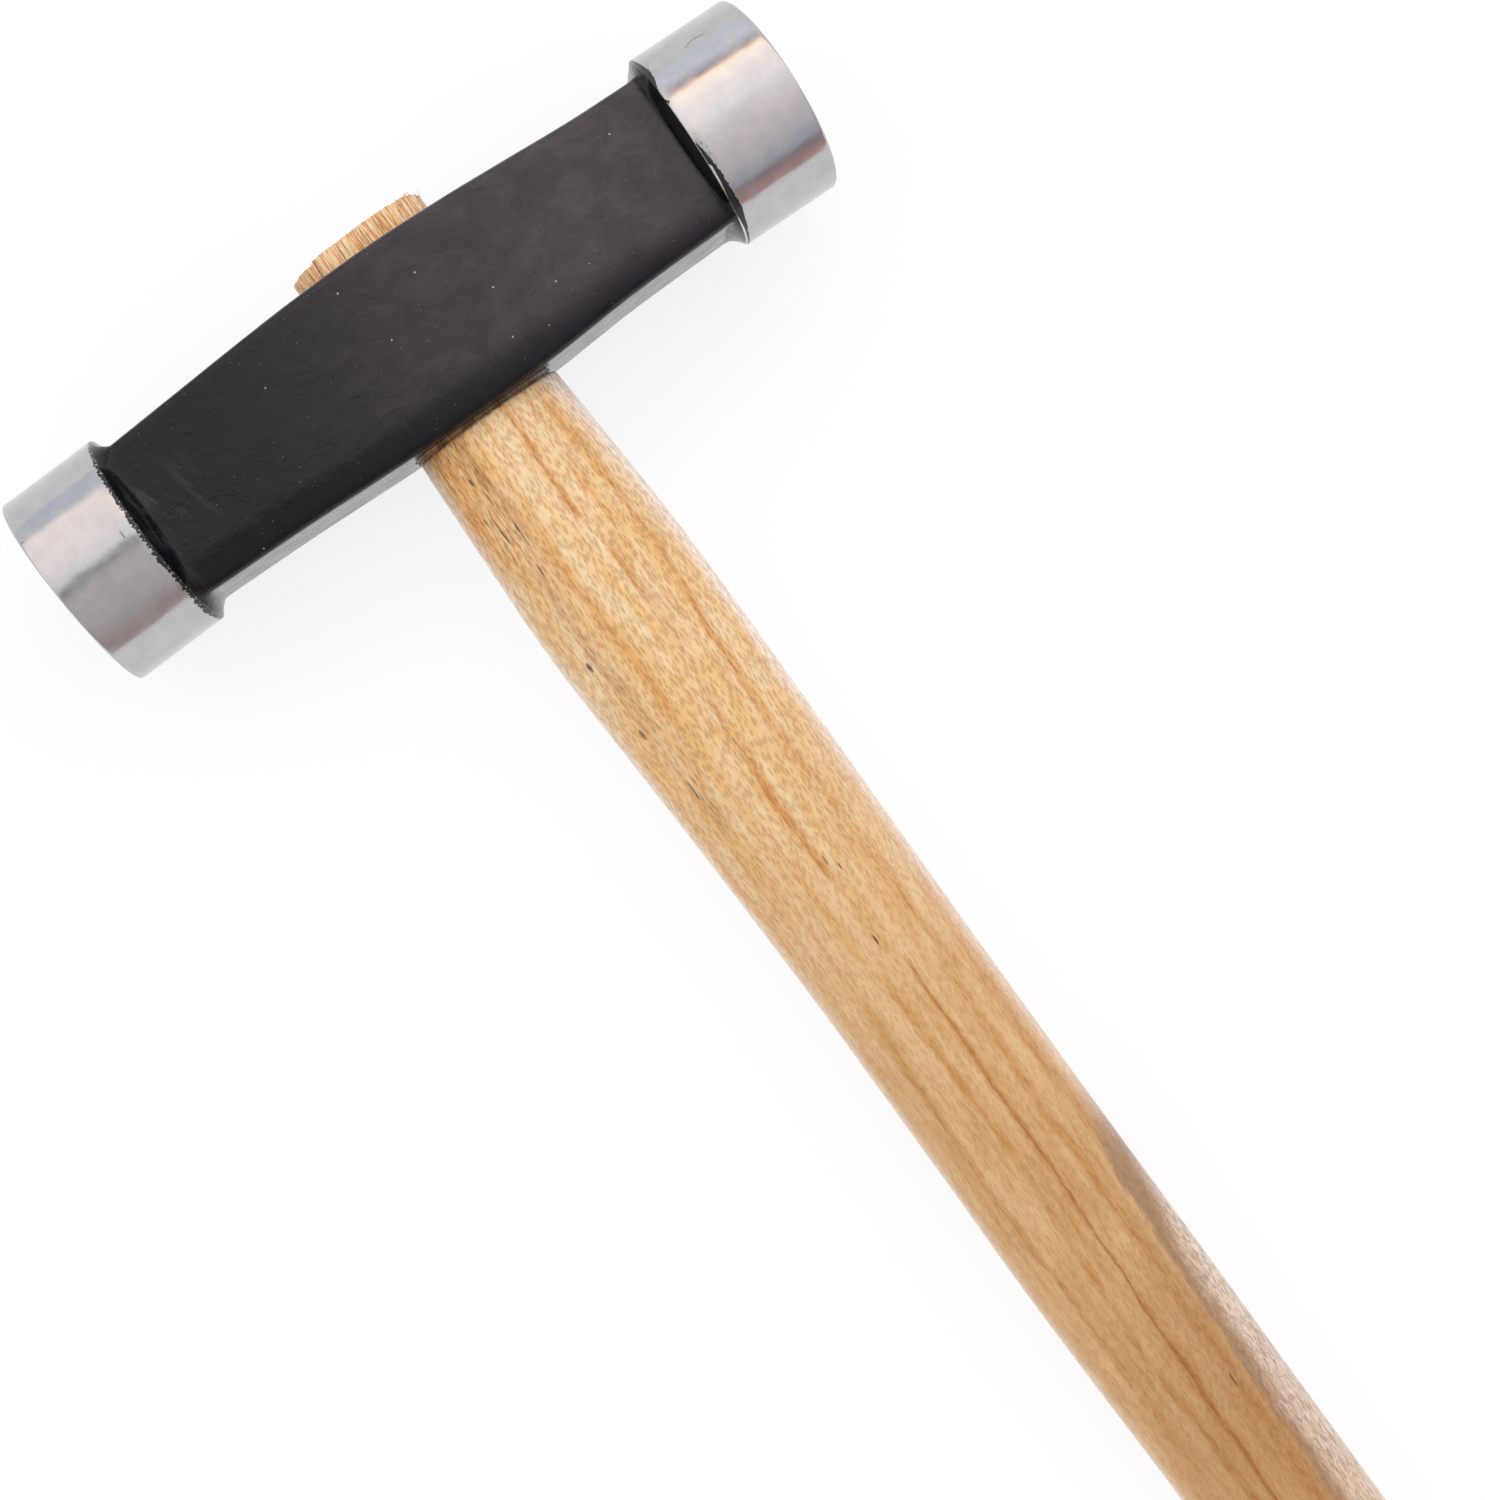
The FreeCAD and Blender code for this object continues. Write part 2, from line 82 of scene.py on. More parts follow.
# Tenon: the chunk's and the tenon's top as (x, height), with a limit that leans along Z; the
# crack as (x, z). The kerf and the steel wedge's slot widen from their foot to their head.
TENON_CLEARANCE = 0.1
TENON_NARROWING = 0.26
TENON_NARROW = (12.6, 13.1, 13.5)
CHUNK_TOP = ((-10.4, 14.2), (-9.9, 14.42), (-9, 14.7), (-8, 14.98), (-6.3, 15.02))
CHUNK_SLOPE = 0.12
TENON_TOP = ((-6.3, 15.4), (-5, 15.5), (0, 15.62), (5, 15.78), (7.2, 15.82), (7.9, 15.62),
             (8.6, 15.35), (9.3, 14.95), (9.8, 14.6), (10.4, 14.1))
TOP_LIMIT = 15.67
TOP_LIMIT_LEAN = 0.019
CRACK = ((-6.85, 6.2), (-6.6, 5.25), (-6.45, 4.8), (-6.15, 4.4), (-6.35, 3.9), (-5.95, 3.2),
         (-5.9, 0), (-5.95, -3.6), (-6.3, -4.4), (-6.75, -6.2))
SPLIT_X = -5.9
SPLIT_WIDTH = 0.18
SPLIT_DEPTH = 7.0
KERF_FOOT = 0.6
KERF_HALF_FOOT = 0.3
KERF_HALF_HEAD = 1.25
STEEL_FOOT = 5.3
STEEL_HEAD = STEEL_FOOT + 9.05
SLOT_TOP = STEEL_HEAD + 5
STEEL_HALF_FOOT = 0.25
STEEL_HALF_HEAD = 0.95
STEEL_HALF_WIDTH = 3.85
# Splinters: foot (x, z), lean and rise, width
SPLINTERS = (
    ((8.0, 4.3), (0.8, 1.0), 0.3), ((8.6, 4.0), (0.15, 0.9), 0.22),
    ((8.1, 4.5), (0.45, 0.6), 0.24), ((8.7, 4.0), (1.55, 0.1), 0.3),
    ((9.2, 3.4), (1.0, 0.25), 0.26), ((9.6, 2.4), (0.45, 0.5), 0.2),
    ((9.75, 1.2), (0.35, 0.45), 0.22), ((7.0, 4.6), (-0.4, 0.4), 0.18),
)

# Handle: drop below the head's axis, its left and right side and its thickness
GRIP = (
    (12.65, -10.1, 11.05, 11.6), (15.5, -10.24, 11.24, 12.6), (20.7, -10.48, 11.55, 13.9),
    (26, -10.7, 11.86, 14.9), (31, -10.89, 12.17, 15.8), (38.6, -11.15, 12.5, 16.8),
    (46, -11.1, 12.62, 17.4), (56.7, -10.7, 12.66, 17.6), (70, -10.2, 12.6, 17.5),
    (100, -9.45, 12.5, 17.1), (128, -9.4, 12.6, 17.1), (144, -9.55, 12.76, 17.3),
    (160, -9.35, 12.95, 17.4), (182, -8.85, 13.06, 17.3), (220, -8.55, 13.35, 17.15),
    (274.65, -8.1, 13.6, 17.05),
)
GRIP_LINES = [[(entry[0], entry[column]) for entry in GRIP] for column in (1, 2, 3)]
BUTT = GRIP[-1][0]
BUTT_ROUND = 3.0
SIDE_ROUND_SHARE = 0.78
# The shoulder's rounded edge, as rows of drop and inset
SHOULDER = GRIP[0][0]
SHOULDER_ROUND = 0.4
SHOULDER_ROWS = ((SHOULDER + 0.12, 0.12), (SHOULDER, SHOULDER_ROUND))
TENON_STRAIGHT = (-SHOULDER, -6, 0, 6, 11, 12)

# Camera: its focal length in the photograph's pixels, its place and its three turns
PHOTO_HEIGHT = 1500
FOCAL_PIXELS = 2336.8
SENSOR = 36.0
EYE_POINT = Vector((-13.877, -46.762, 302.862))
CAMERA_TURNS = (0.065, 0.0525, 0.6245)

# Faces that meet at more than this angle keep a crease
CREASE = math.radians(32)


def clamp(value, low=0.0, high=1.0):
    return min(high, max(low, value))


def blend(a, b, share):
    return a + (b - a) * share


def through(points, place):
    """The height at a place on a smooth line through points."""
    count = len(points)
    place = clamp(place, points[0][0], points[-1][0])
    index = 0
    while index < count - 2 and place > points[index + 1][0]:
        index += 1

    def slope(i):
        before, after = points[max(i - 1, 0)], points[min(i + 1, count - 1)]
        return (after[1] - before[1]) / (after[0] - before[0])

    (x0, y0), (x1, y1) = points[index], points[index + 1]
    span = x1 - x0
    t = (place - x0) / span
    return ((2 * t ** 3 - 3 * t ** 2 + 1) * y0 + (t ** 3 - 2 * t ** 2 + t) * span * slope(index)
            + (3 * t ** 2 - 2 * t ** 3) * y1 + (t ** 3 - t ** 2) * span * slope(index + 1))


def spread(low, high, steps):
    """Even places from low to high, both kept."""
    return [blend(low, high, index / steps) for index in range(steps + 1)]


# Meshes

def place_mesh(name, bm, materials):
    """Makes an object of a mesh in hammer millimetres, laid down in the row frame."""
    bmesh.ops.recalc_face_normals(bm, faces=bm.faces)
    for vertex in bm.verts:
        vertex.co = (LYING @ vertex.co) * MM
    mesh = bpy.data.meshes.new(name)
    bm.to_mesh(mesh)
    bm.free()
    for material in materials:
        mesh.materials.append(material)
    piece = bpy.data.objects.new(name, mesh)
    bpy.context.scene.collection.objects.link(piece)
    return piece


def add_rows(bm, rows, slots, first=None, last=None):
    """Joins rows of points into a skin, closed by a middle point at either end."""
    made = [[bm.verts.new(point) for point in row] for row in rows]
    count = len(made[0])
    for index, (row, after) in enumerate(zip(made, made[1:])):
        for j in range(count):
            k = (j + 1) % count
            face = bm.faces.new((row[j], row[k], after[k], after[j]))
            face.material_index = slots[index]
    for middle, row, slot in ((first, made[0], slots[0]), (last, made[-1], slots[-1])):
        if middle is None:
            continue
        centre = bm.verts.new(middle)
        for j in range(count):
            face = bm.faces.new((row[j], row[(j + 1) % count], centre))
            face.material_index = slot
    return made


def level(outline, y):
    """An outline of X and Z, as points at a height."""
    return [Vector((x, y, z)) for x, z in outline]


def shade(piece):
    """Smooth faces with creases between them."""
    bm = bmesh.new()
    bm.from_mesh(piece.data)
    for face in bm.faces:
        face.smooth = True
    for edge in bm.edges:
        edge.smooth = len(edge.link_faces) != 2 or edge.calc_face_angle() < CREASE
    bm.to_mesh(piece.data)
    bm.free()


def carve(piece, cutter):
    """Cuts one mesh out of another and drops the cutter."""
    cut = piece.modifiers.new("cut", "BOOLEAN")
    cut.operation = "DIFFERENCE"
    cut.solver = "EXACT"
    cut.object = cutter
    bpy.context.view_layer.update()
    seen = piece.evaluated_get(bpy.context.evaluated_depsgraph_get())
    mesh = bpy.data.meshes.new_from_object(seen)
    piece.modifiers.clear()
    piece.data = mesh
    bpy.data.objects.remove(cutter)


def oval(left, right, thickness, side_round, steps):
    """A four-arc oval in X and Z, with as many points on each arc."""
    middle = (left + right) / 2
    half = (right - left) / 2
    deep = thickness / 2
    large = ((half - side_round) ** 2 + deep ** 2 - side_round ** 2) / (2 * (deep - side_round))
    reach = half - side_round
    rise = large - deep
    turn = math.atan2(rise, reach)
    arcs = (
        (middle + reach, 0, side_round, -turn, turn),
        (middle, -rise, large, turn, math.pi - turn),
        (middle - reach, 0, side_round, math.pi - turn, math.pi + turn),
        (middle, rise, large, math.pi + turn, 2 * math.pi - turn),
    )
    points = []
    for x, z, radius, start, end in arcs:
        for index in range(steps):
            angle = blend(start, end, index / steps)
            points.append((x + radius * math.cos(angle), z + radius * math.sin(angle)))
    return points


# Head

# Rows and points of the skin
BODY_STEPS = 80
FLAT_STEPS = 40
CORNER_STEPS = 8
NECK_STEPS = 16
RIM_STEPS = 4
CYLINDER_STEPS = 14
EDGE_STEPS = 5
FACE_STEPS = 16
EYE_STEPS = 24
# How the neck's rows crowd towards the body
NECK_CROWDING = 1.3
# The height on the body where its top and its bottom take over from its cheeks, and over how much
CHEEK_REACH = 7.5
CHEEK_BLEND = 2.0


def body_section(x):
    """The body's rounded rectangle in Y and Z."""
    high = through(BODY_TOP, x)
    low = through(BODY_BOTTOM, x)
    corners = ((high, 1, TOP_ROUND), (low, 1, BOTTOM_ROUND), (low, -1, BOTTOM_ROUND),
               (high, -1, TOP_ROUND))
    arcs = []
    for index, (edge, face, (deep_y, deep_z)) in enumerate(corners):
        y = edge - math.copysign(deep_y, edge)
        z = face * (CHEEK - deep_z)
        turns = spread(index * math.pi / 2, (index + 1) * math.pi / 2, CORNER_STEPS)
        arcs.append([(y + deep_y * math.cos(turn), z + deep_z * math.sin(turn)) for turn in turns])
    points = []
    for arc, after in zip(arcs, arcs[1:] + arcs[:1]):
        points += arc
        (y0, z0), (y1, z1) = arc[-1], after[0]
        for share in spread(0, 1, FLAT_STEPS)[1:-1]:
            points.append((blend(y0, y1, share), blend(z0, z1, share)))
    return points


def peen_row(side, rim, length, along, radius, angles):
    """A ring round the drooping axis of a peen, which leans less with the rim further out."""
    out = Vector((side * math.cos(DROOP), -math.sin(DROOP), 0))
    up = Vector((side * math.sin(DROOP), math.cos(DROOP), 0))
    place, lean_y, lean_z = rim
    share = 1 - clamp(along / length)
    row = []
    for angle in angles:
        point = (Vector((place, 0, 0)) + out * along + up * (radius * math.cos(angle))
                 + Vector((0, 0, radius * math.sin(angle))))
        leaning = place + lean_y * point.y + lean_z * point.z
        drooping = place + up.x * point.y
        point.x += share * (leaning - drooping)
        row.append(point)
    return row


def by_height(y, values):
    """One of three values for the bottom, the cheek and the top of the body, run together."""
    bottom, cheek, top = values
    above, below = (clamp((way * y - CHEEK_REACH) / CHEEK_BLEND) for way in (1, -1))
    return blend(blend(cheek, top, above), bottom, below)


def peen_rows(side, neck, rim, length, dome):
    """Rows from the body's end to the face: neck, rim edge, cylinder, rounded edge and face."""
    starts, hollows, flare = neck
    end = starts[1]
    base = [(by_height(y, starts), *body_section(by_height(y, starts))[index])
            for index, (y, z) in enumerate(body_section(end))]
    angles = []
    for x, y, z in base:
        turn = math.degrees(abs(math.atan2(z, y)))
        turn = through(flare, turn) if turn < 90 else turn
        angles.append(math.copysign(math.radians(turn), z))

    def ring(along, radius):
        return peen_row(side, rim, length, along, radius, angles)

    inner = ring(0, FACE_RADIUS - RIM_ROUND)
    lacquered = []
    for share in [step ** NECK_CROWDING for step in spread(0, 1, NECK_STEPS)]:
        row = []
        for (x, y, z), point in zip(base, inner):
            rise = share ** by_height(y, hollows)
            row.append(Vector((blend(x, point.x, share), blend(y, point.y, rise),
                               blend(z, point.z, rise))))
        lacquered.append(row)
    steel = []
    for turn in spread(0, math.pi / 2, RIM_STEPS)[1:]:
        steel.append(ring(RIM_ROUND * (1 - math.cos(turn)),
                          FACE_RADIUS - RIM_ROUND * (1 - math.sin(turn))))
    for along in spread(RIM_ROUND, length - FACE_ROUND, CYLINDER_STEPS)[1:]:
        steel.append(ring(along, FACE_RADIUS))
    flat = FACE_RADIUS - FACE_ROUND
    for turn in spread(0, math.pi / 2, EDGE_STEPS)[1:]:
        steel.append(ring(length - FACE_ROUND * (1 - math.sin(turn)),
                          flat + FACE_ROUND * math.cos(turn)))
    for share in spread(1, 0, FACE_STEPS)[1:-1]:
        steel.append(ring(length + dome * (1 - share ** 2), flat * share))
    tip = peen_row(side, rim, length, length + dome, 0, angles[:1])[0]
    return lacquered, steel, tip


def make_eye_cutter(material):
    """The eye, with a small chamfer at both mouths."""
    rows = []
    for y, opened in EYE_MOUTHS:
        wide = EYE_CHAMFER * opened
        rows.append(level(oval(-EYE_HALF_LENGTH - wide, EYE_HALF_LENGTH + wide,
                               2 * (EYE_HALF_WIDTH + wide), EYE_SIDE_ROUND + wide, EYE_STEPS), y))
    bm = bmesh.new()
    add_rows(bm, rows, [0] * len(rows), Vector((0, EYE_MOUTHS[0][0], 0)),
             Vector((0, EYE_MOUTHS[-1][0], 0)))
    return place_mesh("eye_cutter", bm, [material])


def make_head(lacquer, steel):
    left_neck, left_steel, left_tip = peen_rows(-1, LEFT_NECK, LEFT_RIM, LEFT_PEEN, 0)
    right_neck, right_steel, right_tip = peen_rows(1, RIGHT_NECK, RIGHT_RIM, RIGHT_PEEN, DOME)
    body = [[Vector((x, y, z)) for y, z in body_section(x)]
            for x in spread(LEFT_END, RIGHT_END, BODY_STEPS)[1:-1]]
    rows = left_steel[::-1] + left_neck[::-1] + body + right_neck + right_steel
    slots = ([1] * len(left_steel) + [0] * (len(left_neck) + len(body) + len(right_neck) - 1)
             + [1] * len(right_steel))
    bm = bmesh.new()
    add_rows(bm, rows, slots, left_tip, right_tip)
    head = place_mesh("hammer_head_forging", bm, [lacquer, steel])
    carve(head, make_eye_cutter(lacquer))
    shade(head)
    return head


# Handle

OVAL_STEPS = 44
BUTT_RINGS = 12
BUTT_STEPS = 8
GRIP_STEPS = 150
SAW_RINGS = 30
SPLINTER_STEPS = 5
# How far the grip is worn in and out, and its waves to the millimetre across and along it
WEAR_DEPTH = 0.07
WEAR_ACROSS = 0.16
WEAR_ALONG = 0.03
# The saw cut's torn fibres: coarse and fine waves to the millimetre, and the share of the fine
# ones; then how high they stand and how far they lie below the cut
TORN_COARSE = 2.1
TORN_FINE = 6.0
TORN_FINE_SHARE = 0.7
TORN_HEIGHT = 0.1
TORN_DROP = 0.04
# Where the rows under the saw cut lie between the tenon's wall and the cut
RISE_TO_SAW = (0.35, 0.7)
# How far the cutters run past the wood, above it and beside it
CUT_ABOVE = 4.0
CUT_BESIDE = 1.0
# A splinter's foot below the cut, how late it leans, its sway, how it thins and how flat it is
SPLINTER_FOOT = 0.25
SPLINTER_LEAN = 1.6
SPLINTER_SWAY = 0.1
SPLINTER_TAPER = 0.8
SPLINTER_FLATNESS = 0.7


def grip_section(drop, inset=0.0):
    """The grip's oval at a drop below the head's axis, smaller all round by an inset."""
    left, right, thickness = (through(line, drop) for line in GRIP_LINES)
    thickness -= 2 * inset
    side_round = SIDE_ROUND_SHARE * thickness / 2
    return oval(left + inset, right - inset, thickness, side_round, OVAL_STEPS)


def grip_rows():
    """Rows from the butt's middle to the shoulder, and the middle itself."""
    middle = sum(through(line, BUTT) for line in GRIP_LINES[:2]) / 2
    end = grip_section(BUTT, BUTT_ROUND)
    rows = []
    for share in spread(0, 1, BUTT_RINGS)[1:-1]:
        rows.append(level([(blend(middle, x, share), z * share) for x, z in end], -BUTT))
    for turn in spread(0, math.pi / 2, BUTT_STEPS):
        drop = BUTT - BUTT_ROUND * (1 - math.cos(turn))
        rows.append(level(grip_section(drop, BUTT_ROUND * (1 - math.sin(turn))), -drop))
    for drop in spread(BUTT - BUTT_ROUND, SHOULDER + SHOULDER_ROUND, GRIP_STEPS)[1:]:
        rows.append(level(grip_section(drop), -drop))
    for drop, inset in SHOULDER_ROWS:
        rows.append(level(grip_section(drop, inset), -drop))
    for row in rows:
        for point in row:
            worn = WEAR_DEPTH * noise.noise(Vector((point.x * WEAR_ACROSS, point.y * WEAR_ALONG,
                                                    point.z * WEAR_ACROSS)))
            point.x += worn
            point.z += worn
    return rows, Vector((middle, -BUTT, 0))


def crack_place(z):
    """Where the crack of the steel wedge crosses the tenon."""
    return through([(depth, x) for x, depth in CRACK[::-1]], z)


def saw_height(x, z):
    """The rough saw cut at the top of the tenon, lower on the chunk that split off."""
    line = CHUNK_TOP if x < crack_place(z) else TENON_TOP
    torn = (noise.noise(Vector((x * TORN_COARSE, z * TORN_COARSE, 3.7)))
            + TORN_FINE_SHARE * noise.noise(Vector((x * TORN_FINE, z * TORN_FINE, 1))))
    limit = TOP_LIMIT + TOP_LIMIT_LEAN * z
    sawn = min(limit, through(line, x) + CHUNK_SLOPE * max(0, EYE_HALF_WIDTH - z))
    return min(limit, sawn + TORN_HEIGHT * torn - TORN_DROP)


def tenon_rows():
    """Rows from the shoulder up the tenon's wall and in over the saw cut."""
    wall = oval(TENON_CLEARANCE - EYE_HALF_LENGTH, EYE_HALF_LENGTH - TENON_CLEARANCE,
                2 * (EYE_HALF_WIDTH - TENON_CLEARANCE), EYE_SIDE_ROUND - TENON_CLEARANCE,
                OVAL_STEPS)
    rows = [level(wall, y) for y in TENON_STRAIGHT]
    slim = 1 - TENON_NARROWING / EYE_HALF_LENGTH
    wall = [(x * slim, z) for x, z in wall]
    rows += [level(wall, y) for y in TENON_NARROW]
    for share in RISE_TO_SAW:
        rows.append([Vector((x, blend(TENON_NARROW[-1], saw_height(x, z), share), z))
                     for x, z in wall])
    for share in spread(1, 0, SAW_RINGS)[:-1]:
        rows.append([Vector((x * share, saw_height(x * share, z * share), z * share))
                     for x, z in wall])
    return rows


def prism(name, outline, low, high, axis, material):
    """A straight cutter: an outline of pairs pushed along an axis from low to high."""
    bm = bmesh.new()
    ends = []
    for place in (low, high):
        corners = [{"X": (place, a, b), "Y": (a, place, b), "Z": (a, b, place)}[axis]
                   for a, b in outline]
        ends.append([bm.verts.new(corner) for corner in corners])
    count = len(outline)
    for index in range(count):
        after = (index + 1) % count
        bm.faces.new((ends[0][index], ends[0][after], ends[1][after], ends[1][index]))
    for end in ends:
        bm.faces.new(end)
    return place_mesh(name, bm, [material])


def cut_tenon(handle, wood):
    """Saws the kerf, then opens the steel wedge's slot and the crack from it to both sides."""
    top = TOP_LIMIT + CUT_ABOVE
    kerf = ((KERF_FOOT, -KERF_HALF_FOOT), (TOP_LIMIT, -KERF_HALF_HEAD), (top, -KERF_HALF_HEAD),
            (top, KERF_HALF_HEAD), (TOP_LIMIT, KERF_HALF_HEAD), (KERF_FOOT, KERF_HALF_FOOT))
    reach = EYE_HALF_LENGTH + CUT_BESIDE
    carve(handle, prism("kerf_cutter", kerf, -reach, reach, "X", wood))
    slot = ((-STEEL_HALF_FOOT, STEEL_FOOT), (STEEL_HALF_FOOT, STEEL_FOOT),
            (STEEL_HALF_HEAD, STEEL_HEAD), (STEEL_HALF_HEAD, SLOT_TOP),
            (-STEEL_HALF_HEAD, SLOT_TOP), (-STEEL_HALF_HEAD, STEEL_HEAD))
    slot = [(SPLIT_X + x, y) for x, y in slot]
    carve(handle, prism("slot_cutter", slot, -STEEL_HALF_WIDTH, STEEL_HALF_WIDTH, "Z", wood))
    half = SPLIT_WIDTH / 2
    crack = [(x - half, z) for x, z in CRACK] + [(x + half, z) for x, z in CRACK[::-1]]
    carve(handle, prism("split_cutter", crack, TOP_LIMIT - SPLIT_DEPTH, top, "Y", wood))


def make_handle(wood):
    rows, butt = grip_rows()
    rows += tenon_rows()
    bm = bmesh.new()
    add_rows(bm, rows, [0] * len(rows), butt, Vector((0, saw_height(0, 0), 0)))
    handle = place_mesh("handle_wood", bm, [wood])
    cut_tenon(handle, wood)
    shade(handle)
    return handle


def make_splinters(wood):
    """Torn fibres left standing at the right end of the saw cut."""
    bm = bmesh.new()
    for (x, z), (lean_x, rise), width in SPLINTERS:
        foot = saw_height(x, z) - SPLINTER_FOOT
        rows = []
        for share in spread(0, 1, SPLINTER_STEPS):
            y = min(foot + rise * share, TOP_LIMIT + TOP_LIMIT_LEAN * z)
            middle = Vector((x + lean_x * share ** SPLINTER_LEAN, y,
                             z + SPLINTER_SWAY * math.sin(5 * share)))
            half = width / 2 * (1 - SPLINTER_TAPER * share)
            rows.append([middle + Vector((half * math.cos(turn), 0,
                                          half * SPLINTER_FLATNESS * math.sin(turn)))
                         for turn in spread(0, 2 * math.pi, 5)[:-1]])
        tip = rows[-1][0].lerp(rows[-1][2], 0.5) + Vector((0.01, 0.01, 0))
        add_rows(bm, rows, [0] * len(rows), Vector((x, foot, z)), tip)
    splinters = place_mesh("tenon_splinters", bm, [wood])
    shade(splinters)
    return splinters


# Materials

# The largest value that along() can carry, above or below zero
ALONG_REACH = 16


class Value:
    """What a node gives: a number that takes part in sums and products, a place or a colour."""

    def __init__(self, nodes, socket):
        self.nodes = nodes
        self.socket = socket

    def __add__(self, other):
        return self.nodes.math("ADD", self, other)

    def __sub__(self, other):
        return self.nodes.math("SUBTRACT", self, other)

    def __rsub__(self, other):
        return self.nodes.math("SUBTRACT", other, self)

    def __mul__(self, other):
        return self.nodes.math("MULTIPLY", self, other)

    __radd__ = __add__
    __rmul__ = __mul__

    def __abs__(self):
        return self.nodes.math("ABSOLUTE", self)

    def line(self, low, high, start=0.0, end=1.0, kind="LINEAR"):
        """A straight change from start to end as the value goes from low to high."""
        made = self.nodes.node("MapRange", Value=self, From_Min=low, From_Max=high,
                               To_Min=start, To_Max=end)
        made.interpolation_type = kind
        return Value(self.nodes, made.outputs[0])

    def step(self, low, high, start=0.0, end=1.0):
        """A smooth step from start to end as the value goes from low to high."""
        return self.line(low, high, start, end, "SMOOTHSTEP")


class Nodes:
    """Builds the nodes of one material or world."""

    def __init__(self, owner):
        owner.use_nodes = True
        self.tree = owner.node_tree
        self.tree.nodes.clear()

    def node(self, kind, **inputs):
        made = self.tree.nodes.new("ShaderNode" + kind)
        for name, value in inputs.items():
            self.put(made.inputs[name.replace("_", " ")], value)
        return made

    def put(self, socket, value):
        """Links a value to a socket, or sets the socket to a plain number, place or colour."""
        if isinstance(value, Value):
            self.tree.links.new(value.socket, socket)
        elif socket.type == "RGBA" and isinstance(value, tuple):
            socket.default_value = (*value, 1)
        else:
            socket.default_value = value

    def give(self, kind, output, **inputs):
        """One output of a new node."""
        return Value(self, self.node(kind, **inputs).outputs[output])

    def math(self, operation, *values):
        made = self.node("Math")
        made.operation = operation
        for socket, value in zip(made.inputs, values):
            self.put(socket, value)
        return Value(self, made.outputs[0])

    def most(self, largest, *others):
        """The largest of some values."""
        for other in others:
            largest = self.math("MAXIMUM", largest, other)
        return largest

    def split(self, place):
        """The X, Y and Z of a place or a direction."""
        return [Value(self, part) for part in self.node("SeparateXYZ", Vector=place).outputs]

    def ramp(self, value, stops):
        """A colour or grey for each value, from (place, colour) stops."""
        made = self.node("ValToRGB", Fac=value)
        band = made.color_ramp
        while len(band.elements) < len(stops):
            band.elements.new(0.5)
        for element, (place, colour) in zip(band.elements, stops):
            element.position = place
            if isinstance(colour, (int, float)):
                colour = (colour, colour, colour)
            element.color = (*colour, 1)
        return Value(self, made.outputs[0])

    def mix(self, share, a, b, kind="MIX"):
        """A colour that goes from a to b as the share goes from 0 to 1."""
        made = self.node("Mix")
        made.data_type = "RGBA"
        made.blend_type = kind
        for index, value in ((0, share), (6, a), (7, b)):
            self.put(made.inputs[index], value)
        return Value(self, made.outputs[2])


class Shader(Nodes):
    """Builds one material on hammer millimetres."""

    def __init__(self, name):
        self.material = bpy.data.materials.new(name)
        super().__init__(self.material)
        self.bsdf = self.node("BsdfPrincipled")
        self.tree.links.new(self.bsdf.outputs[0], self.node("OutputMaterial").inputs["Surface"])
        self.place = self.give("Mapping", 0, Vector=self.give("TexCoord", "Object"),
                               Location=Matrix.Rotation(-REST_TURN, 3, "X") @ -EYE_PLACE,
                               Rotation=(-REST_TURN, 0, 0), Scale=(1 / MM, 1 / MM, 1 / MM))
        self.x, self.y, self.z = self.split(self.place)

    def spot(self, x, y, half_x, half_y):
        """A soft ellipse round a place in X and Y."""
        far_x = (self.x - x) * (1 / half_x)
        far_y = (self.y - y) * (1 / half_y)
        return self.math("SQRT", far_x * far_x + far_y * far_y).step(1.1, 0.6)

    def along(self, points):
        """The value of a line through (y, value) points, read at each place's Y."""
        low, high = points[0][0], points[-1][0]
        stops = [((y - low) / (high - low), (value + ALONG_REACH) / (2 * ALONG_REACH))
                 for y, value in points]
        return self.ramp(self.y.line(low, high), stops) * (2 * ALONG_REACH) - ALONG_REACH

    def point(self, x, y, z):
        return self.give("CombineXYZ", 0, X=x, Y=y, Z=z)

    def stretched(self, x, y, z):
        """The place with each axis multiplied."""
        made = self.node("VectorMath")
        made.operation = "MULTIPLY"
        self.put(made.inputs[0], self.place)
        self.put(made.inputs[1], (x, y, z))
        return Value(self, made.outputs[0])

    def noise(self, place, detail=2.0, roughness=0.5, distortion=0.0):
        return self.give("TexNoise", "Fac", Vector=place, Scale=1.0, Detail=detail,
                         Roughness=roughness, Distortion=distortion)

    def cells(self, place):
        """How far each place is from the middle of its cell."""
        return self.give("TexVoronoi", "Distance", Vector=place, Scale=1.0)

    def bump(self, height, distance, strength, normal=None):
        """Raises the surface by a height between 0 and 1 times a distance in millimetres."""
        made = self.node("Bump", Height=height, Distance=distance * MM, Strength=strength)
        if normal is not None:
            self.put(made.inputs["Normal"], normal)
        return Value(self, made.outputs[0])

    def set(self, **values):
        """Sets the material's own sockets and hands the material over."""
        for name, value in values.items():
            self.put(self.bsdf.inputs[name.replace("_", " ")], value)
        return self.material


def srgb(red, green, blue):
    """A linear colour from the 0 to 255 values that it shows as."""
    return tuple((c / 255 / 12.92) if c <= 10 else ((c / 255 + 0.055) / 1.055) ** 2.4
                 for c in (red, green, blue))


# Black lacquer

CLEAN_LACQUER = srgb(2, 4, 11)
# Dust haze and painted sheen of the light from the right
HAZE_AND_SHEEN_LACQUER = srgb(75, 70, 77)
DUST = srgb(168, 165, 165)


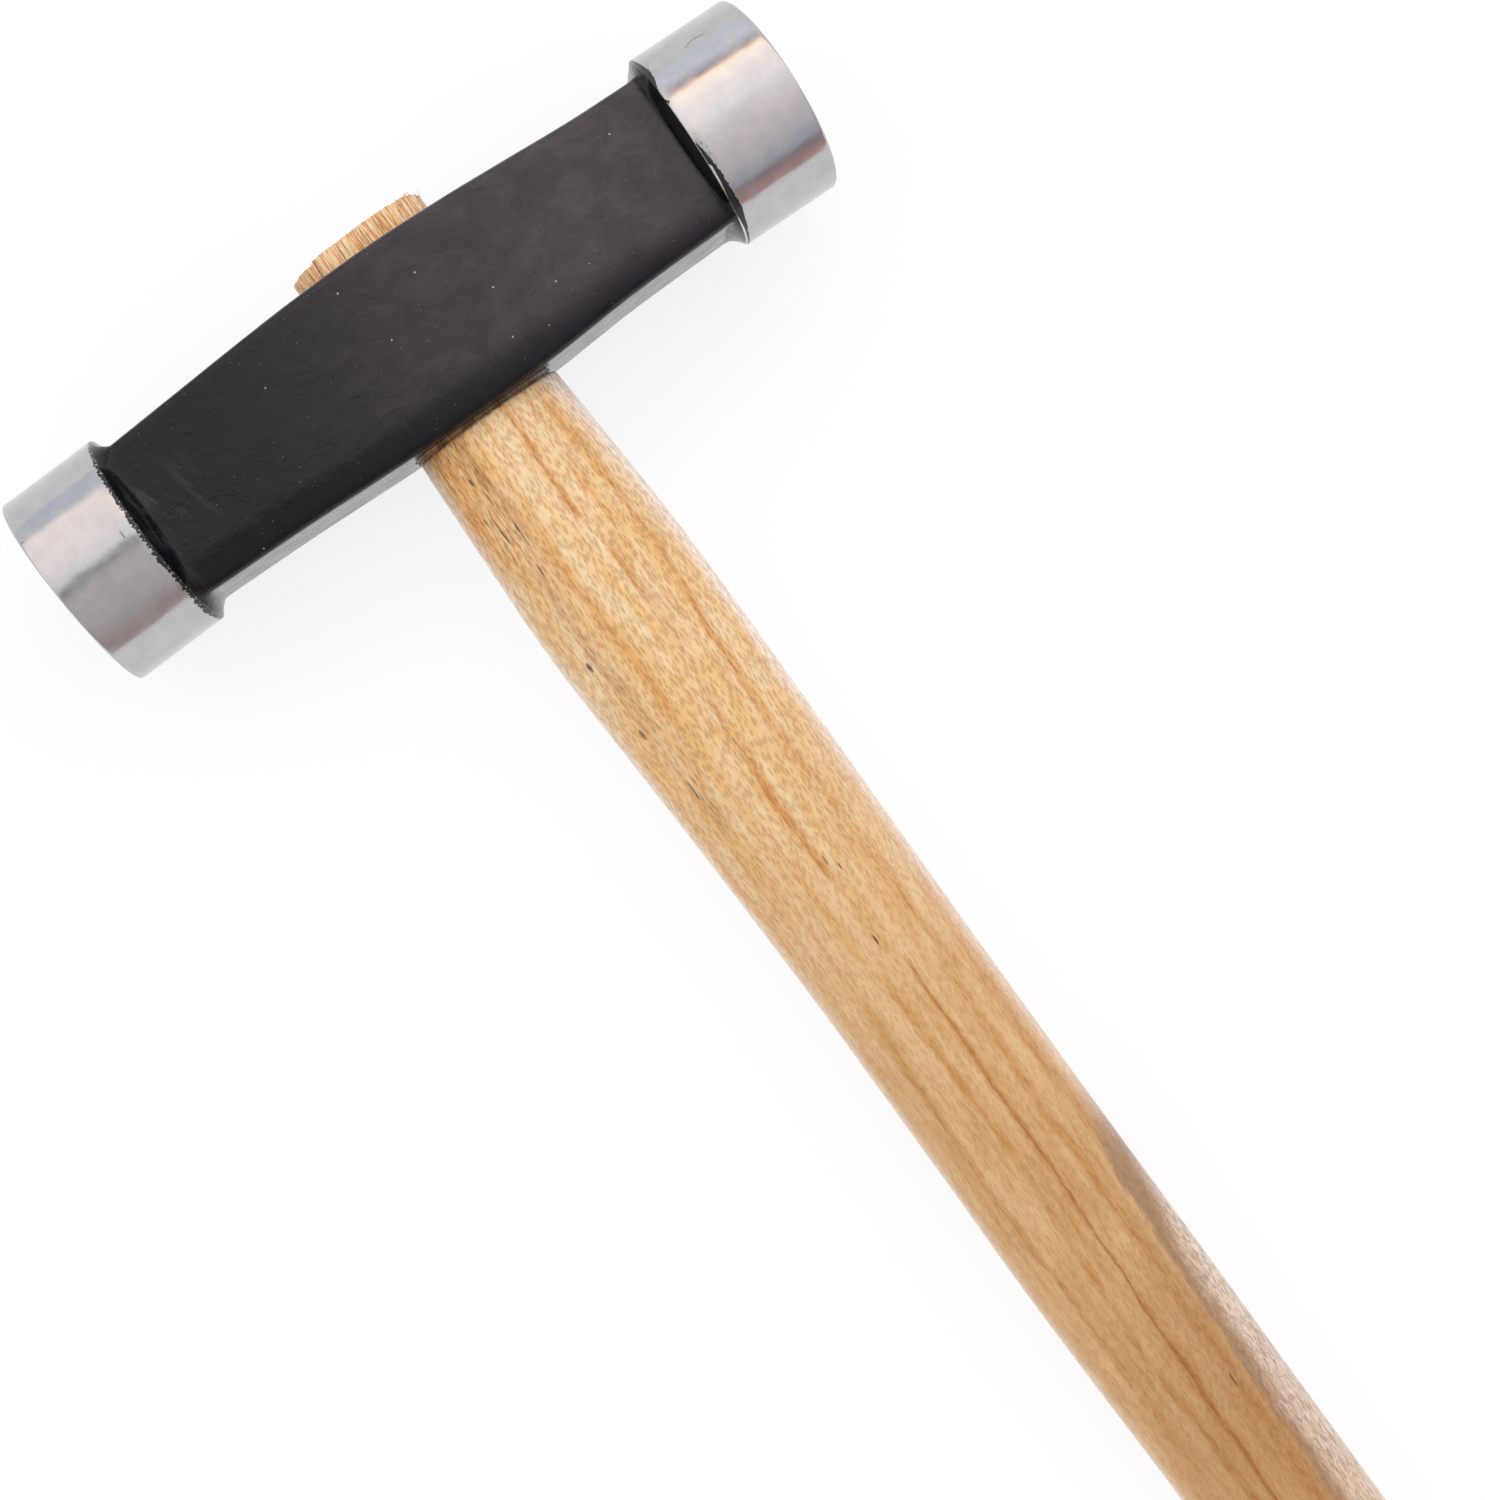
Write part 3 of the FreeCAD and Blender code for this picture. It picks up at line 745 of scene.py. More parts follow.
def black_lacquer():
    s = Shader("black_lacquer")
    mottle = s.noise(s.stretched(0.2, 0.26, 0.2), 5, 0.62, 0.5)
    fine = s.noise(s.stretched(2.2, 2.2, 2.2), 3, 0.6)
    # A thin haze of dust and handling on the flats, with painted sheen in it, clean and black in
    # the necks and on the rolls
    flat = s.x.step(LEFT_END - 0.1, LEFT_END + 0.2) * s.x.step(RIGHT_END + 0.1, RIGHT_END - 0.5)
    # Painted shade: the haze thins towards the bottom of the cheeks
    flat = flat * s.y.step(-10.6, -5.0, 0.15, 1)
    # Painted light from the right: the haze grows from the left end to the right end
    haze_and_sheen = flat * mottle.step(0.25, 0.8, 0.45, 1) * s.x.step(-32, 30, 0.04, 1)
    # Wiped streaks beside the left neck
    wiped = s.noise(s.point(s.x * 0.9 + s.y * 0.35, s.y * 0.18, s.z), 3)
    patch = s.x.step(-32, -37) * abs(s.y - 0.5).step(7, 2)
    haze_and_sheen = haze_and_sheen + patch * wiped.step(0.48, 0.66) * 0.4
    colour = s.mix(haze_and_sheen, CLEAN_LACQUER, HAZE_AND_SHEEN_LACQUER)
    # Faint small specks of dust and a few bright ones
    tiny = s.cells(s.stretched(1.5, 1.5, 1.5)).step(0.09, 0.14, 1, 0)
    tiny = tiny * s.noise(s.stretched(1.1, 1.1, 1.1), 2).step(0.56, 0.62)
    large = s.cells(s.stretched(0.4, 0.4, 0.4)).step(0.04, 0.06, 1, 0)
    large = large * s.noise(s.stretched(0.21, 0.21, 0.21), 1).step(0.5, 0.56)
    dust = s.most(tiny * 0.3, large)
    colour = s.mix(dust, colour, DUST)
    scuff = s.noise(s.point(s.x * 0.25 + s.y * 0.2, s.y - s.x * 0.6, s.z), 4, 0.7).step(0.62, 0.7)
    roughness = mottle.step(0.3, 0.7, 0.13, 0.21) + (dust + scuff * 0.25) * 0.3
    normal = s.bump(mottle, 0.35, 0.5)
    normal = s.bump(fine + tiny * 0.8, 0.035, 0.6, normal)
    return s.set(Base_Color=colour, Roughness=roughness, Normal=normal, IOR=1.36)


# Polished steel

# How far lacquer ran over each rim: (y, reach)
LEFT_REACH = ((-13.7, 0.45), (-12, 0.7), (-10, 0.55), (-7, 0.5), (-5, 0.75), (-2, 0.5), (3, 0.5),
              (9, 0.45), (12, 0.35), (13.7, 0.15))
RIGHT_REACH = ((-13.7, 0.35), (-13, 0.5), (-12.1, 0.75), (-10.5, 1.1), (-8.75, 0.98),
               (-6.5, 0.95), (-4.45, 0.75), (-3, 0.5), (-1.7, 0.3), (-1.2, -0.2), (0, -0.4),
               (4.0, -0.3), (4.6, 0.45), (5.4, -0.1), (7.0, 0.15), (8.2, 0.6), (9.7, 0.8),
               (11.5, 0.45), (12.9, 0.25), (13.7, 0.0))
# Width of the bare line rubbed along the right rim: (y, width)
RIGHT_LINE = ((-13.7, 0.1), (-12.7, 0.18), (-11.6, 0.14), (-11, 0.04), (-9, 0.04), (-6.6, 0.26),
              (-4.8, 0.3), (-4.4, 0.1), (4.6, 0.1), (4.9, -0.2), (13.7, -0.2))
RUN_LACQUER = srgb(14, 14, 16)
SMEARED_STEEL = srgb(96, 92, 90)
RUBBED_STEEL = srgb(226, 225, 224)
MARKED_STEEL = srgb(70, 62, 60)
# Nicks on the left peen: x, y and half sizes
PEEN_NICKS = ((-44.5, -0.2, 0.11, 0.75), (-55.0, 6.3, 0.4, 0.1))


def rim_gap(s, rim, side):
    """How far a place lies beyond a peen's rim."""
    place, lean_y, lean_z = rim
    return side * (s.x - (place + (s.y * lean_y + s.z * lean_z)))


def lacquer_runs(s, teeth):
    """Where lacquer ran over the rims, jagged on the left and in patches on the right, where the
    right rim was rubbed bare, and the grey smears where its lower patch begins."""
    left = s.x.step(-1, 1, 1, 0)
    right = 1 - left
    inside = s.along(LEFT_REACH) + teeth * 1.7 - rim_gap(s, LEFT_RIM, -1)
    specks = s.noise(s.stretched(2.9, 2.9, 2.9), 2, 0.6).step(0.6, 0.64)
    specks = specks * inside.step(0.75, 0.45)
    painted = left * inside.step(-0.03, 0.03) * (1 - specks)
    gap = rim_gap(s, RIGHT_RIM, 1)
    runs = right * (s.along(RIGHT_REACH) + teeth * 0.7 - gap).step(-0.03, 0.03)
    rubbed = (abs(teeth) * 0.3 + s.along(RIGHT_LINE) - gap).step(-0.02, 0.04)
    smears = s.noise(s.stretched(2.4, 1.6, 1.6), 4, 0.7).step(0.5, 0.66)
    near = (gap - s.y.step(-0.5, -4, 0.3, 1.0)).step(0.8, 0)
    smears = right * (s.y.step(-7, -4) * s.y.step(1.5, -1)) * (near * smears)
    return painted + runs * (1 - rubbed), right * rubbed, smears


def peen_marks(s, teeth):
    """Nicks on the left peen and a curved mark on the right one."""
    off_curve = s.y - (9.3 + s.math("SINE", (s.x - 46.7) * 0.85) * 0.45)
    curve = abs(off_curve).step(0.13, 0.04) * (s.x.step(46.7, 47.3) * s.x.step(50.4, 49.6))
    nicks = s.most(*(s.spot(*nick) for nick in PEEN_NICKS))
    return s.most(nicks, curve * teeth.step(-0.2, 0.05))


def face_grinding(s):
    """Where the two faces are, and the grinding rings on them."""
    face = s.most(s.x.step(-54.5, -54.7), s.x.step(54.6, 54.8))
    off_axis = s.y + 1.4
    radius = s.math("SQRT", off_axis * off_axis + s.z * s.z)
    return face, s.noise(s.point(radius * 2.4, s.y * 0.05, s.z * 0.05), 4, 0.7)


def polished_steel():
    s = Shader("polished_steel")
    # Polishing marks round the cylinder and a few slanted scratches
    round_marks = s.noise(s.stretched(5, 0.35, 0.35), 4, 0.6)
    slanted = s.point(s.x * 1.4 + s.y * 1.1, s.y * 4.4 - s.x * 4.8, s.z * 4)
    scratches = s.noise(slanted, 3, 0.7).step(0.66, 0.8)
    cloud = s.noise(s.stretched(0.4, 0.4, 0.4), 4, 0.55)
    colour = s.mix(cloud.step(0.3, 0.7), srgb(181, 181, 184), srgb(191, 190, 190))
    colour = s.mix(round_marks.step(0.4, 0.8, 0, 0.35), colour, srgb(178, 176, 177))
    colour = s.mix(scratches * 0.35, colour, srgb(150, 146, 144))
    teeth = s.noise(s.point(s.x * 0.6, s.y * 1.5, s.z * 1.5), 5, 0.72) - 0.5
    painted, rubbed, smears = lacquer_runs(s, teeth)
    colour = s.mix(smears * 0.7, colour, SMEARED_STEEL)
    colour = s.mix(rubbed, colour, RUBBED_STEEL)
    face, rings = face_grinding(s)
    colour = s.mix(face * rings.step(0.45, 0.7, 0, 0.4), colour, srgb(160, 159, 160))
    marks = peen_marks(s, teeth)
    colour = s.mix(marks * 0.7, colour, MARKED_STEEL)
    colour = s.mix(painted, colour, RUN_LACQUER)
    bare = 1 - painted
    roughness = cloud.step(0.3, 0.7, 0.07, 0.14) + round_marks * 0.06 + rubbed * 0.3
    roughness = roughness * bare + painted * 0.2 + face * (rings * 0.12)
    height = round_marks * 0.12 - scratches * 0.25 + (painted * 1.2 - marks)
    normal = s.bump(height + face * (rings * 0.3), 0.04, 0.6)
    dents = s.noise(s.stretched(0.16, 0.22, 0.22), 2)
    normal = s.bump(dents, 0.25, 0.35, normal)
    return s.set(Base_Color=colour, Metallic=bare, Roughness=roughness, Normal=normal)


# The handle's wood

# Wood grain read off the upper side of the handle: (y, x) along each vein, and (y, strength) or
# (y, width) of a vein that changes
LEFT_VEIN = ((-70, -5.6), (-64, -5.4), (-57.7, -4.2), (-51.4, -2.7), (-38.8, -3.6), (-30, -4.4),
             (-21, -5.2), (-12, -5.6))
MIDDLE_VEIN = ((-90, 0.9), (-83, 1.1), (-72, 1.2), (-64, 1.4), (-58, 2.1), (-51.4, 2.9),
               (-38.8, 3.0), (-35, 2.8), (-31, 2.2), (-27, 1.95), (-20, 2.1), (-12, 1.9))
MIDDLE_STRENGTH = ((-88, 0), (-84, 0.9), (-62, 0.9), (-57, 0.3), (-44, 0.3), (-42, 0.7),
                   (-36.5, 0.9), (-33, 0.15), (-30.5, 0.2), (-29, 1), (-12, 0.9))
MIDDLE_WIDTH = ((-88, 0.9), (-62, 0.9), (-50, 1.6), (-42, 1.6), (-36.5, 1.5), (-32, 0.4),
                (-29.5, 0.9), (-26, 0.7), (-23, 0.5), (-18, 0.6), (-12, 0.9))
RIGHT_VEIN = ((-110, 7.6), (-80, 6.6), (-61.6, 6.4), (-51.4, 6.9), (-38.8, 8.0), (-28.8, 7.5),
              (-21, 7.1), (-12, 6.9))
SHORT_VEIN = ((-62, 5.5), (-45, 5.2), (-30, 5.0), (-12, 4.9))
LINE_A = ((-215, 0.2), (-190, 0.7), (-167.7, 1.2), (-158.4, 1.5), (-147.9, 1.9), (-134.8, 2.25),
          (-123, 2.45), (-100, 2.9))
LINE_A_WIDTH = ((-215, 0.5), (-174, 0.7), (-170, 0.9), (-160, 0.5), (-150, 0.25), (-143, 0.35),
                (-136, 0.3), (-128, 0.6), (-100, 0.6))
LINE_B = ((-275, 7.2), (-240, 6.2), (-215, 6.6), (-195, 6.6), (-181.7, 7.1), (-168.4, 7.6),
          (-155, 7.95), (-141.9, 8.3), (-135.3, 9.2), (-130, 10.6), (-122, 13), (-95, 15))
FAR_VEINS = (((-205, 5.2), (-185, 5.7), (-165, 6.0), (-150, 6.1), (-130, 6.0), (-105, 6.2)),
             ((-200, -1.2), (-175, -1.6), (-160, -2.4), (-145, -1.2), (-125, -0.6), (-105, -1.0)),
             ((-175, -6.0), (-150, -5.8), (-135, -6.3), (-122, -6.2), (-100, -5.2)),
             ((-136, 9.3), (-128, 9.2), (-118, 9.0), (-100, 9.2)))
# A grey-brown smear in the left part
SMEAR = ((-76, -6.2), (-66, -6.6), (-52, -6.8), (-45, -7.2), (-33, -6.4), (-24, -5.4), (-14, -5.6))
# Dark nicks and stains: x, y and half sizes
NICKS = ((-6.32, -18.7, 0.12, 0.62), (-7.73, -23.9, 0.1, 0.75), (-6.85, -25.6, 0.12, 2.6),
         (-5.75, -32.6, 0.1, 1.0), (-7.9, -46.3, 0.3, 0.9), (-7.5, -57.1, 0.22, 1.0),
         (-5.0, -27.5, 0.09, 2.2), (5.5, -169.5, 0.1, 1.2), (-6.4, -66.5, 0.12, 1.6),
         (1.9, -83.5, 0.14, 0.9), (3.0, -85.2, 0.1, 0.6), (1.2, -95.5, 0.12, 0.9))
# Broad veins: line, fade before it and after it, first and last place along Y, strength
BROAD_VEINS = (
    (LEFT_VEIN, 1.4, 2.2, -70, -10, 0.72),
    (RIGHT_VEIN, 0.8, 1.3, -108, -10, 0.78),
    (SHORT_VEIN, 0.5, 0.9, -62, -10, 0.5),
    *((line, 0.8, 1.3, line[0][0], -100, 0.75) for line in FAR_VEINS),
)
# Where the wear and the painted shade towards the far end begin and where they are full, along Y
WEAR_AND_FAR_SHADE = (-45, -128)


class Wood(Shader):
    """The handle's wood: the fields that its layers share, then a method for each layer."""

    def __init__(self):
        super().__init__("handle_wood")
        self.wobble = self.noise(self.stretched(0.5, 0.16, 0.5), 3, 0.6)
        # The grain leans a little through the wood, and wanders
        self.across = self.x + (self.z - 8) * 0.22 + (self.wobble - 0.5) * 1.3
        # Worn towards the far end, where the colours also darken as painted shade
        self.worn = self.y.step(*WEAR_AND_FAR_SHADE)
        # Short dark flecks between raised pale fibres
        leaning = self.point((self.x - self.y * 0.08) * 3.0, self.y * 0.72, self.z * 3.0)
        loose = self.noise(self.stretched(3.0, 0.8, 3.0), 2, 0.6, 0.4)
        self.fibre = (self.cells(leaning) * 0.8 + loose * 0.7).step(0.4, 0.92)
        self.hair = self.grain(2.6, 0.12, 1.2).step(0.35, 0.7)
        self.feather = self.grain(3.2, 0.24, 1.5, roughness=0.65)
        self.amber = self.tone_and_far_shade((216, 154, 78), (190, 132, 66))

    def tone_and_far_shade(self, fresh, worn):
        """A colour for fresh and for worn wood, from the 0 to 255 values that they show as; the
        worn one is also darker as painted shade towards the far end.
        """
        return self.mix(self.worn, srgb(*fresh), srgb(*worn))

    def grain(self, across, along, deep, detail=3, roughness=0.6):
        """A noise drawn out along the grain."""
        place = self.point(self.across * across, self.y * along, self.z * deep)
        return self.noise(place, detail, roughness)

    def vein(self, line, before, after, start, end, across=None):
        """A grain line between two places along Y, which fades out before and after it in X."""
        off = (across or self.across) - self.along(line)
        strength = off.step(-before, 0) * (off - after).step(0, -0.85 * after)
        return strength * (self.y.step(start, start + 4) * self.y.step(end, end - 4))

    def ground(self):
        """Pale and honey wood with soft amber year rings."""
        gold = self.grain(0.5, 0.07, 0.4)
        rings = self.grain(0.62, 0.022, 0.3, roughness=0.55)
        colour = self.mix(gold.step(0.38, 0.66), self.tone_and_far_shade((238, 217, 174), (216, 184, 134)),
                          self.tone_and_far_shade((234, 199, 138), (205, 167, 114)))
        return self.mix(rings.step(0.5, 0.72) * 0.42, colour, self.amber)

    def veined(self, colour):
        """The measured veins, broken up along the fibres, and the dark lines inside them."""
        patchy = self.noise(self.stretched(0.6, 0.13, 0.6), 3, 0.6).step(0.36, 0.6, 0.45, 1)
        patchy = patchy * self.feather.step(0.33, 0.57, 0.5, 1)
        width = self.along(MIDDLE_WIDTH)
        strength = self.along(MIDDLE_STRENGTH)
        middle = self.vein(MIDDLE_VEIN, 0.7, width * 1.6, -88, -10) * strength
        broad = self.most(middle, *(self.vein(*vein) * share for *vein, share in BROAD_VEINS))
        bank = self.across.step(-3.4, -5.2) * self.y.step(-40, -20, 0.15, 1)
        bank = bank * self.feather.step(0.38, 0.6, 0.1, 0.85)
        colour = self.mix(self.most(bank, broad * patchy), colour, self.amber)
        # Line A, dark in a soft halo
        wandering = self.x + (self.wobble - 0.5) * 1.5
        line_width = self.along(LINE_A_WIDTH)
        halo = self.vein(LINE_A, 0.8, line_width + 0.5, -215, -98, wandering)
        colour = self.mix(halo * 0.6, colour, self.amber)
        line_a = self.vein(LINE_A, 0.2, line_width, -215, -98, wandering)
        middle = self.vein(MIDDLE_VEIN, 0.3, width * 0.75, -88, -13) * (strength * 0.65)
        right = self.vein(RIGHT_VEIN, 0.3, 0.5, -66, -20)
        thin = self.most(line_a * 0.75, middle, right * 0.28)
        colour = self.mix(thin * patchy.step(0.1, 0.7, 0.2, 0.85), colour,
                          self.tone_and_far_shade((190, 124, 54), (162, 104, 42)))
        # Short dark dashes inside the lines
        dashes = self.noise(self.stretched(4.5, 0.42, 0.5), 3, 0.65).step(0.54, 0.64)
        dashes = dashes * self.most(thin, broad * 0.8).step(0.35, 0.8)
        return self.mix(dashes * 0.6, colour, self.tone_and_far_shade((164, 104, 44), (118, 76, 36)))

    def stained(self, colour):
        """Dark fine lines and a smear in the left part near the head, and painted shade further
        down, on the right side and at the far end.
        """
        left_part = self.x.step(-3.4, -5.5) * (self.y.step(-38, -28) * self.y.step(-12, -16))
        top_part = self.y.step(-17, -13) * self.x.step(-2.4, -6.2)
        dark = self.grain(3.4, 0.16, 1, detail=2).step(0.56, 0.7)
        dark = dark * self.most(left_part, top_part)
        colour = self.mix(dark * 0.75, colour, srgb(140, 104, 58))
        smear = self.vein(SMEAR, 1.1, 1.9, -76, -13) * self.feather.step(0.4, 0.62, 0.25, 1)
        smear = smear * self.noise(self.stretched(0.3, 0.09, 0.3), 2).step(0.38, 0.58, 0.3, 1)
        colour = self.mix(smear * 0.55, colour, srgb(156, 124, 76))
        # Painted shade: the lower handle darker on its right side and at its far end, except on
        # its left side
        right_shade = self.x.step(-6, 6) * self.y.step(-112, -160) * self.y.step(-150, -190, 0.85, 0.35)
        colour = self.mix(right_shade, colour, srgb(230, 226, 217), "MULTIPLY")
        far_end_shade = self.x.step(-9, -3) * self.y.step(-144, -180)
        return self.mix(far_end_shade, colour, srgb(230, 221, 208), "MULTIPLY")

    def flanked(self, colour):
        """Flanks paler than the upper side as painted rim light, the right one painted grey beyond
        line B as reflection and shade, with speckle.
        """
        # Painted rim light: paler low on the flanks, more on the right one
        right_rim_light = self.x.step(6, 8) * self.z.step(5.4, 2.6, 0, 0.9)
        flank_rim_light = self.z.step(3.8, 0.8, 0, 0.85)
        colour = self.mix(self.most(right_rim_light, flank_rim_light), colour,
                          self.tone_and_far_shade((255, 247, 234), (232, 214, 190)))
        speckle = self.noise(self.stretched(2.4, 0.6, 2.4), 4, 0.7, 0.8)
        beyond = self.x - self.along(LINE_B) + (self.wobble - 0.5) * 2.2
        # Painted grey reflection and shade beyond line B on the right flank, speckled, darker near
        # the line
        rubbed = (beyond + (speckle - 0.5) * 1.2).step(-0.2, 0.8)
        rubbed = rubbed * (self.y.step(-122, -140) * self.y.step(-165, -230, 0.9, 0.4))
        pale = (beyond - self.y.step(-156, -140, 0, 2.4)).step(0.4, 3.4)
        grey = self.mix(pale, srgb(158, 128, 98), srgb(232, 221, 206))
        grey = self.mix(speckle.step(0.42, 0.56, 0.6, 0), grey, srgb(132, 108, 84))
        return self.mix(rubbed, colour, grey)

    def fibred(self, colour):
        """Short dark flecks between the fibres, and fine amber hairs."""
        flecks = (1 - self.fibre) * self.worn.step(0, 1, 1, 0.6)
        dark = self.mix(0.46, colour, srgb(190, 136, 74), "MULTIPLY")
        return self.mix(self.hair * 0.2, self.mix(flecks, colour, dark), self.amber)

    def tenon(self):
        """Straight streaks from pale to brown, browner on the chunk that split off."""
        bands = self.noise(self.stretched(1.6, 0.12, 1), 3, 0.65).step(0.45, 0.64, 0, 0.65)
        colour = self.mix(bands, srgb(250, 224, 176), srgb(244, 170, 84))
        streaks = self.noise(self.stretched(6.4, 0.25, 1), 2, 0.7).step(0.47, 0.6, 0, 0.85)
        colour = self.mix(streaks, colour, srgb(182, 110, 54))
        return self.mix(self.x.step(-6.1, -6.5, 0, 0.3), colour, srgb(186, 130, 92))

    def end_grain(self, saw_marks):
        """Year rings and pores under saw marks."""
        colour = self.mix(saw_marks.step(0.3, 0.7), srgb(230, 192, 144), srgb(190, 142, 94))
        year = self.math("FRACT", (self.across + self.z * self.z * 0.03) * 0.55)
        colour = self.mix(year.step(0.7, 0.95) * 0.5, colour, srgb(160, 104, 58))
        pores = self.cells(self.stretched(2.2, 0.6, 2.2)).step(0.12, 0.34, 0.45, 0)
        return self.mix(pores, colour, srgb(116, 78, 46))

    def sawn(self):
        """1 on the tenon's top and on the flat of the butt, which face along Y."""
        facing = self.split(self.give("TexCoord", "Normal"))[1]
        top = facing.step(0.55, 0.8) * self.y.step(12.8, 13.2)
        return self.most(top, facing.step(-0.72, -0.9))


def handle_wood():
    s = Wood()
    colour = s.fibred(s.flanked(s.stained(s.veined(s.ground()))))
    colour = s.mix(s.y.step(11, 12), colour, s.tenon())
    stains = s.most(*(s.spot(*nick) for nick in NICKS))
    stains = stains * s.z.step(0, 2) * s.fibre.step(0.9, 0.1, 0.65, 1)
    colour = s.mix(stains * 0.9, colour, srgb(48, 33, 18))
    # Painted shadow: the dark line where the shoulder meets the head
    contact_shadow = s.y.step(-13.25, -12.75) * s.y.step(-11.9, -12.4)
    colour = s.mix(contact_shadow * s.wobble.step(0.3, 0.6, 0.5, 0.9), colour, srgb(84, 52, 32))
    sawn = s.sawn()
    saw_marks = s.noise(s.stretched(0.35, 0, 1.6), 4, 0.65)
    colour = s.mix(sawn, colour, s.end_grain(saw_marks))
    height = s.fibre * ((1 - s.worn) * 0.6 + 0.42) + (s.hair * 0.3 - stains * 1.5)
    normal = s.bump(height + sawn * saw_marks * 2.0, 0.12, 0.85)
    return s.set(Base_Color=colour, Roughness=s.fibre.step(0.2, 0.8, 0.52, 0.4), Normal=normal,
                 IOR=1.45, Sheen_Weight=0.3, Sheen_Roughness=0.3)


# Wedges

def wedge_wood():
    s = Shader("wedge_wood")
    fibre = s.noise(s.stretched(1.2, 0.2, 4.0), 4, 0.6)
    pores = s.cells(s.stretched(2.2, 0.4, 2.2))
    colour = s.mix(fibre, srgb(226, 184, 128), srgb(178, 120, 66))
    colour = s.mix(pores.step(0.1, 0.3, 0.6, 0), colour, srgb(120, 78, 44))
    return s.set(Base_Color=colour, Roughness=0.7, Normal=s.bump(fibre + pores, 0.12, 0.6))


def wedge_steel():
    s = Shader("wedge_steel")
    marks = s.noise(s.stretched(0.6, 3.0, 3.0), 4, 0.6)
    rust = s.noise(s.stretched(0.7, 0.7, 0.7), 4, 0.6).step(0.5, 0.68)
    colour = s.mix(rust, srgb(170, 168, 166), srgb(110, 78, 60))
    return s.set(Base_Color=colour, Metallic=rust.step(0, 1, 1, 0.4),
                 Roughness=marks.step(0.3, 0.7, 0.3, 0.5), Normal=s.bump(marks, 0.04, 0.6))


# Pieces

lacquer = black_lacquer()
steel = polished_steel()
wood = handle_wood()

head = make_head(lacquer, steel)
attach(head, "root")
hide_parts("hammer_head")

handle = make_handle(wood)
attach(handle, "root")
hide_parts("handle")

splinters = make_splinters(wood)
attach(splinters, "root")

for node, material in (("wooden_wedge", wedge_wood()), ("steel_wedge", wedge_steel())):
    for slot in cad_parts[node].material_slots:
        slot.material = material


# Floor, light and camera

FLOOR_REACH = 4.0  # in metres
# How far the floor is matt and takes the shadow, rather than glowing white
FLOOR_MATT = 0.22
# The floor's glow, as the hammer is lit by it and as the camera or a reflection sees it
FLOOR_GLOW = (1.0, 1.05)
# Light by the angle round the head's axis, 0 overhead and 90 beyond the head, on each side of it
LEFT_LIGHT = (
    (-90, (0.62, 0.5, 0.47)), (-80, (0.53, 0.43, 0.41)), (-70, (0.57, 0.5, 0.49)),
    (-58, (0.65, 0.59, 0.6)), (-22, (0.75, 0.71, 0.73)), (-13, (0.69, 0.64, 0.66)),
    (-6, (0.44, 0.43, 0.45)), (-1, (0.56, 0.58, 0.6)), (2, (0.95, 0.95, 0.97)),
    (5, (1.25, 1.2, 1.19)), (40, (1.5, 1.35, 1.31)), (62, (1.58, 1.4, 1.34)),
    (66, (1.15, 1.08, 1.07)), (69, (0.86, 0.9, 0.95)), (90, (0.84, 0.88, 0.97)),
)
RIGHT_LIGHT = (
    (-90, (0.66, 0.36, 0.32)), (-78, (0.52, 0.36, 0.36)), (-72, (0.36, 0.3, 0.32)),
    (-68, (0.52, 0.53, 0.6)), (-52, (0.78, 0.75, 0.8)), (-29, (1.0, 0.91, 0.92)),
    (-1, (1.3, 1.21, 1.21)), (14, (1.56, 1.46, 1.44)), (31, (1.7, 1.54, 1.48)),
    (42, (2.0, 1.8, 1.6)), (50, (2.1, 1.75, 1.4)), (53, (1.55, 0.9, 0.62)),
    (56, (0.62, 0.62, 0.68)), (67, (1.06, 1.07, 1.18)), (90, (0.98, 1.04, 1.13)),
)
# The directions' X between which the left light turns into the right one
LIGHT_SIDES = (-0.1, 0.2)


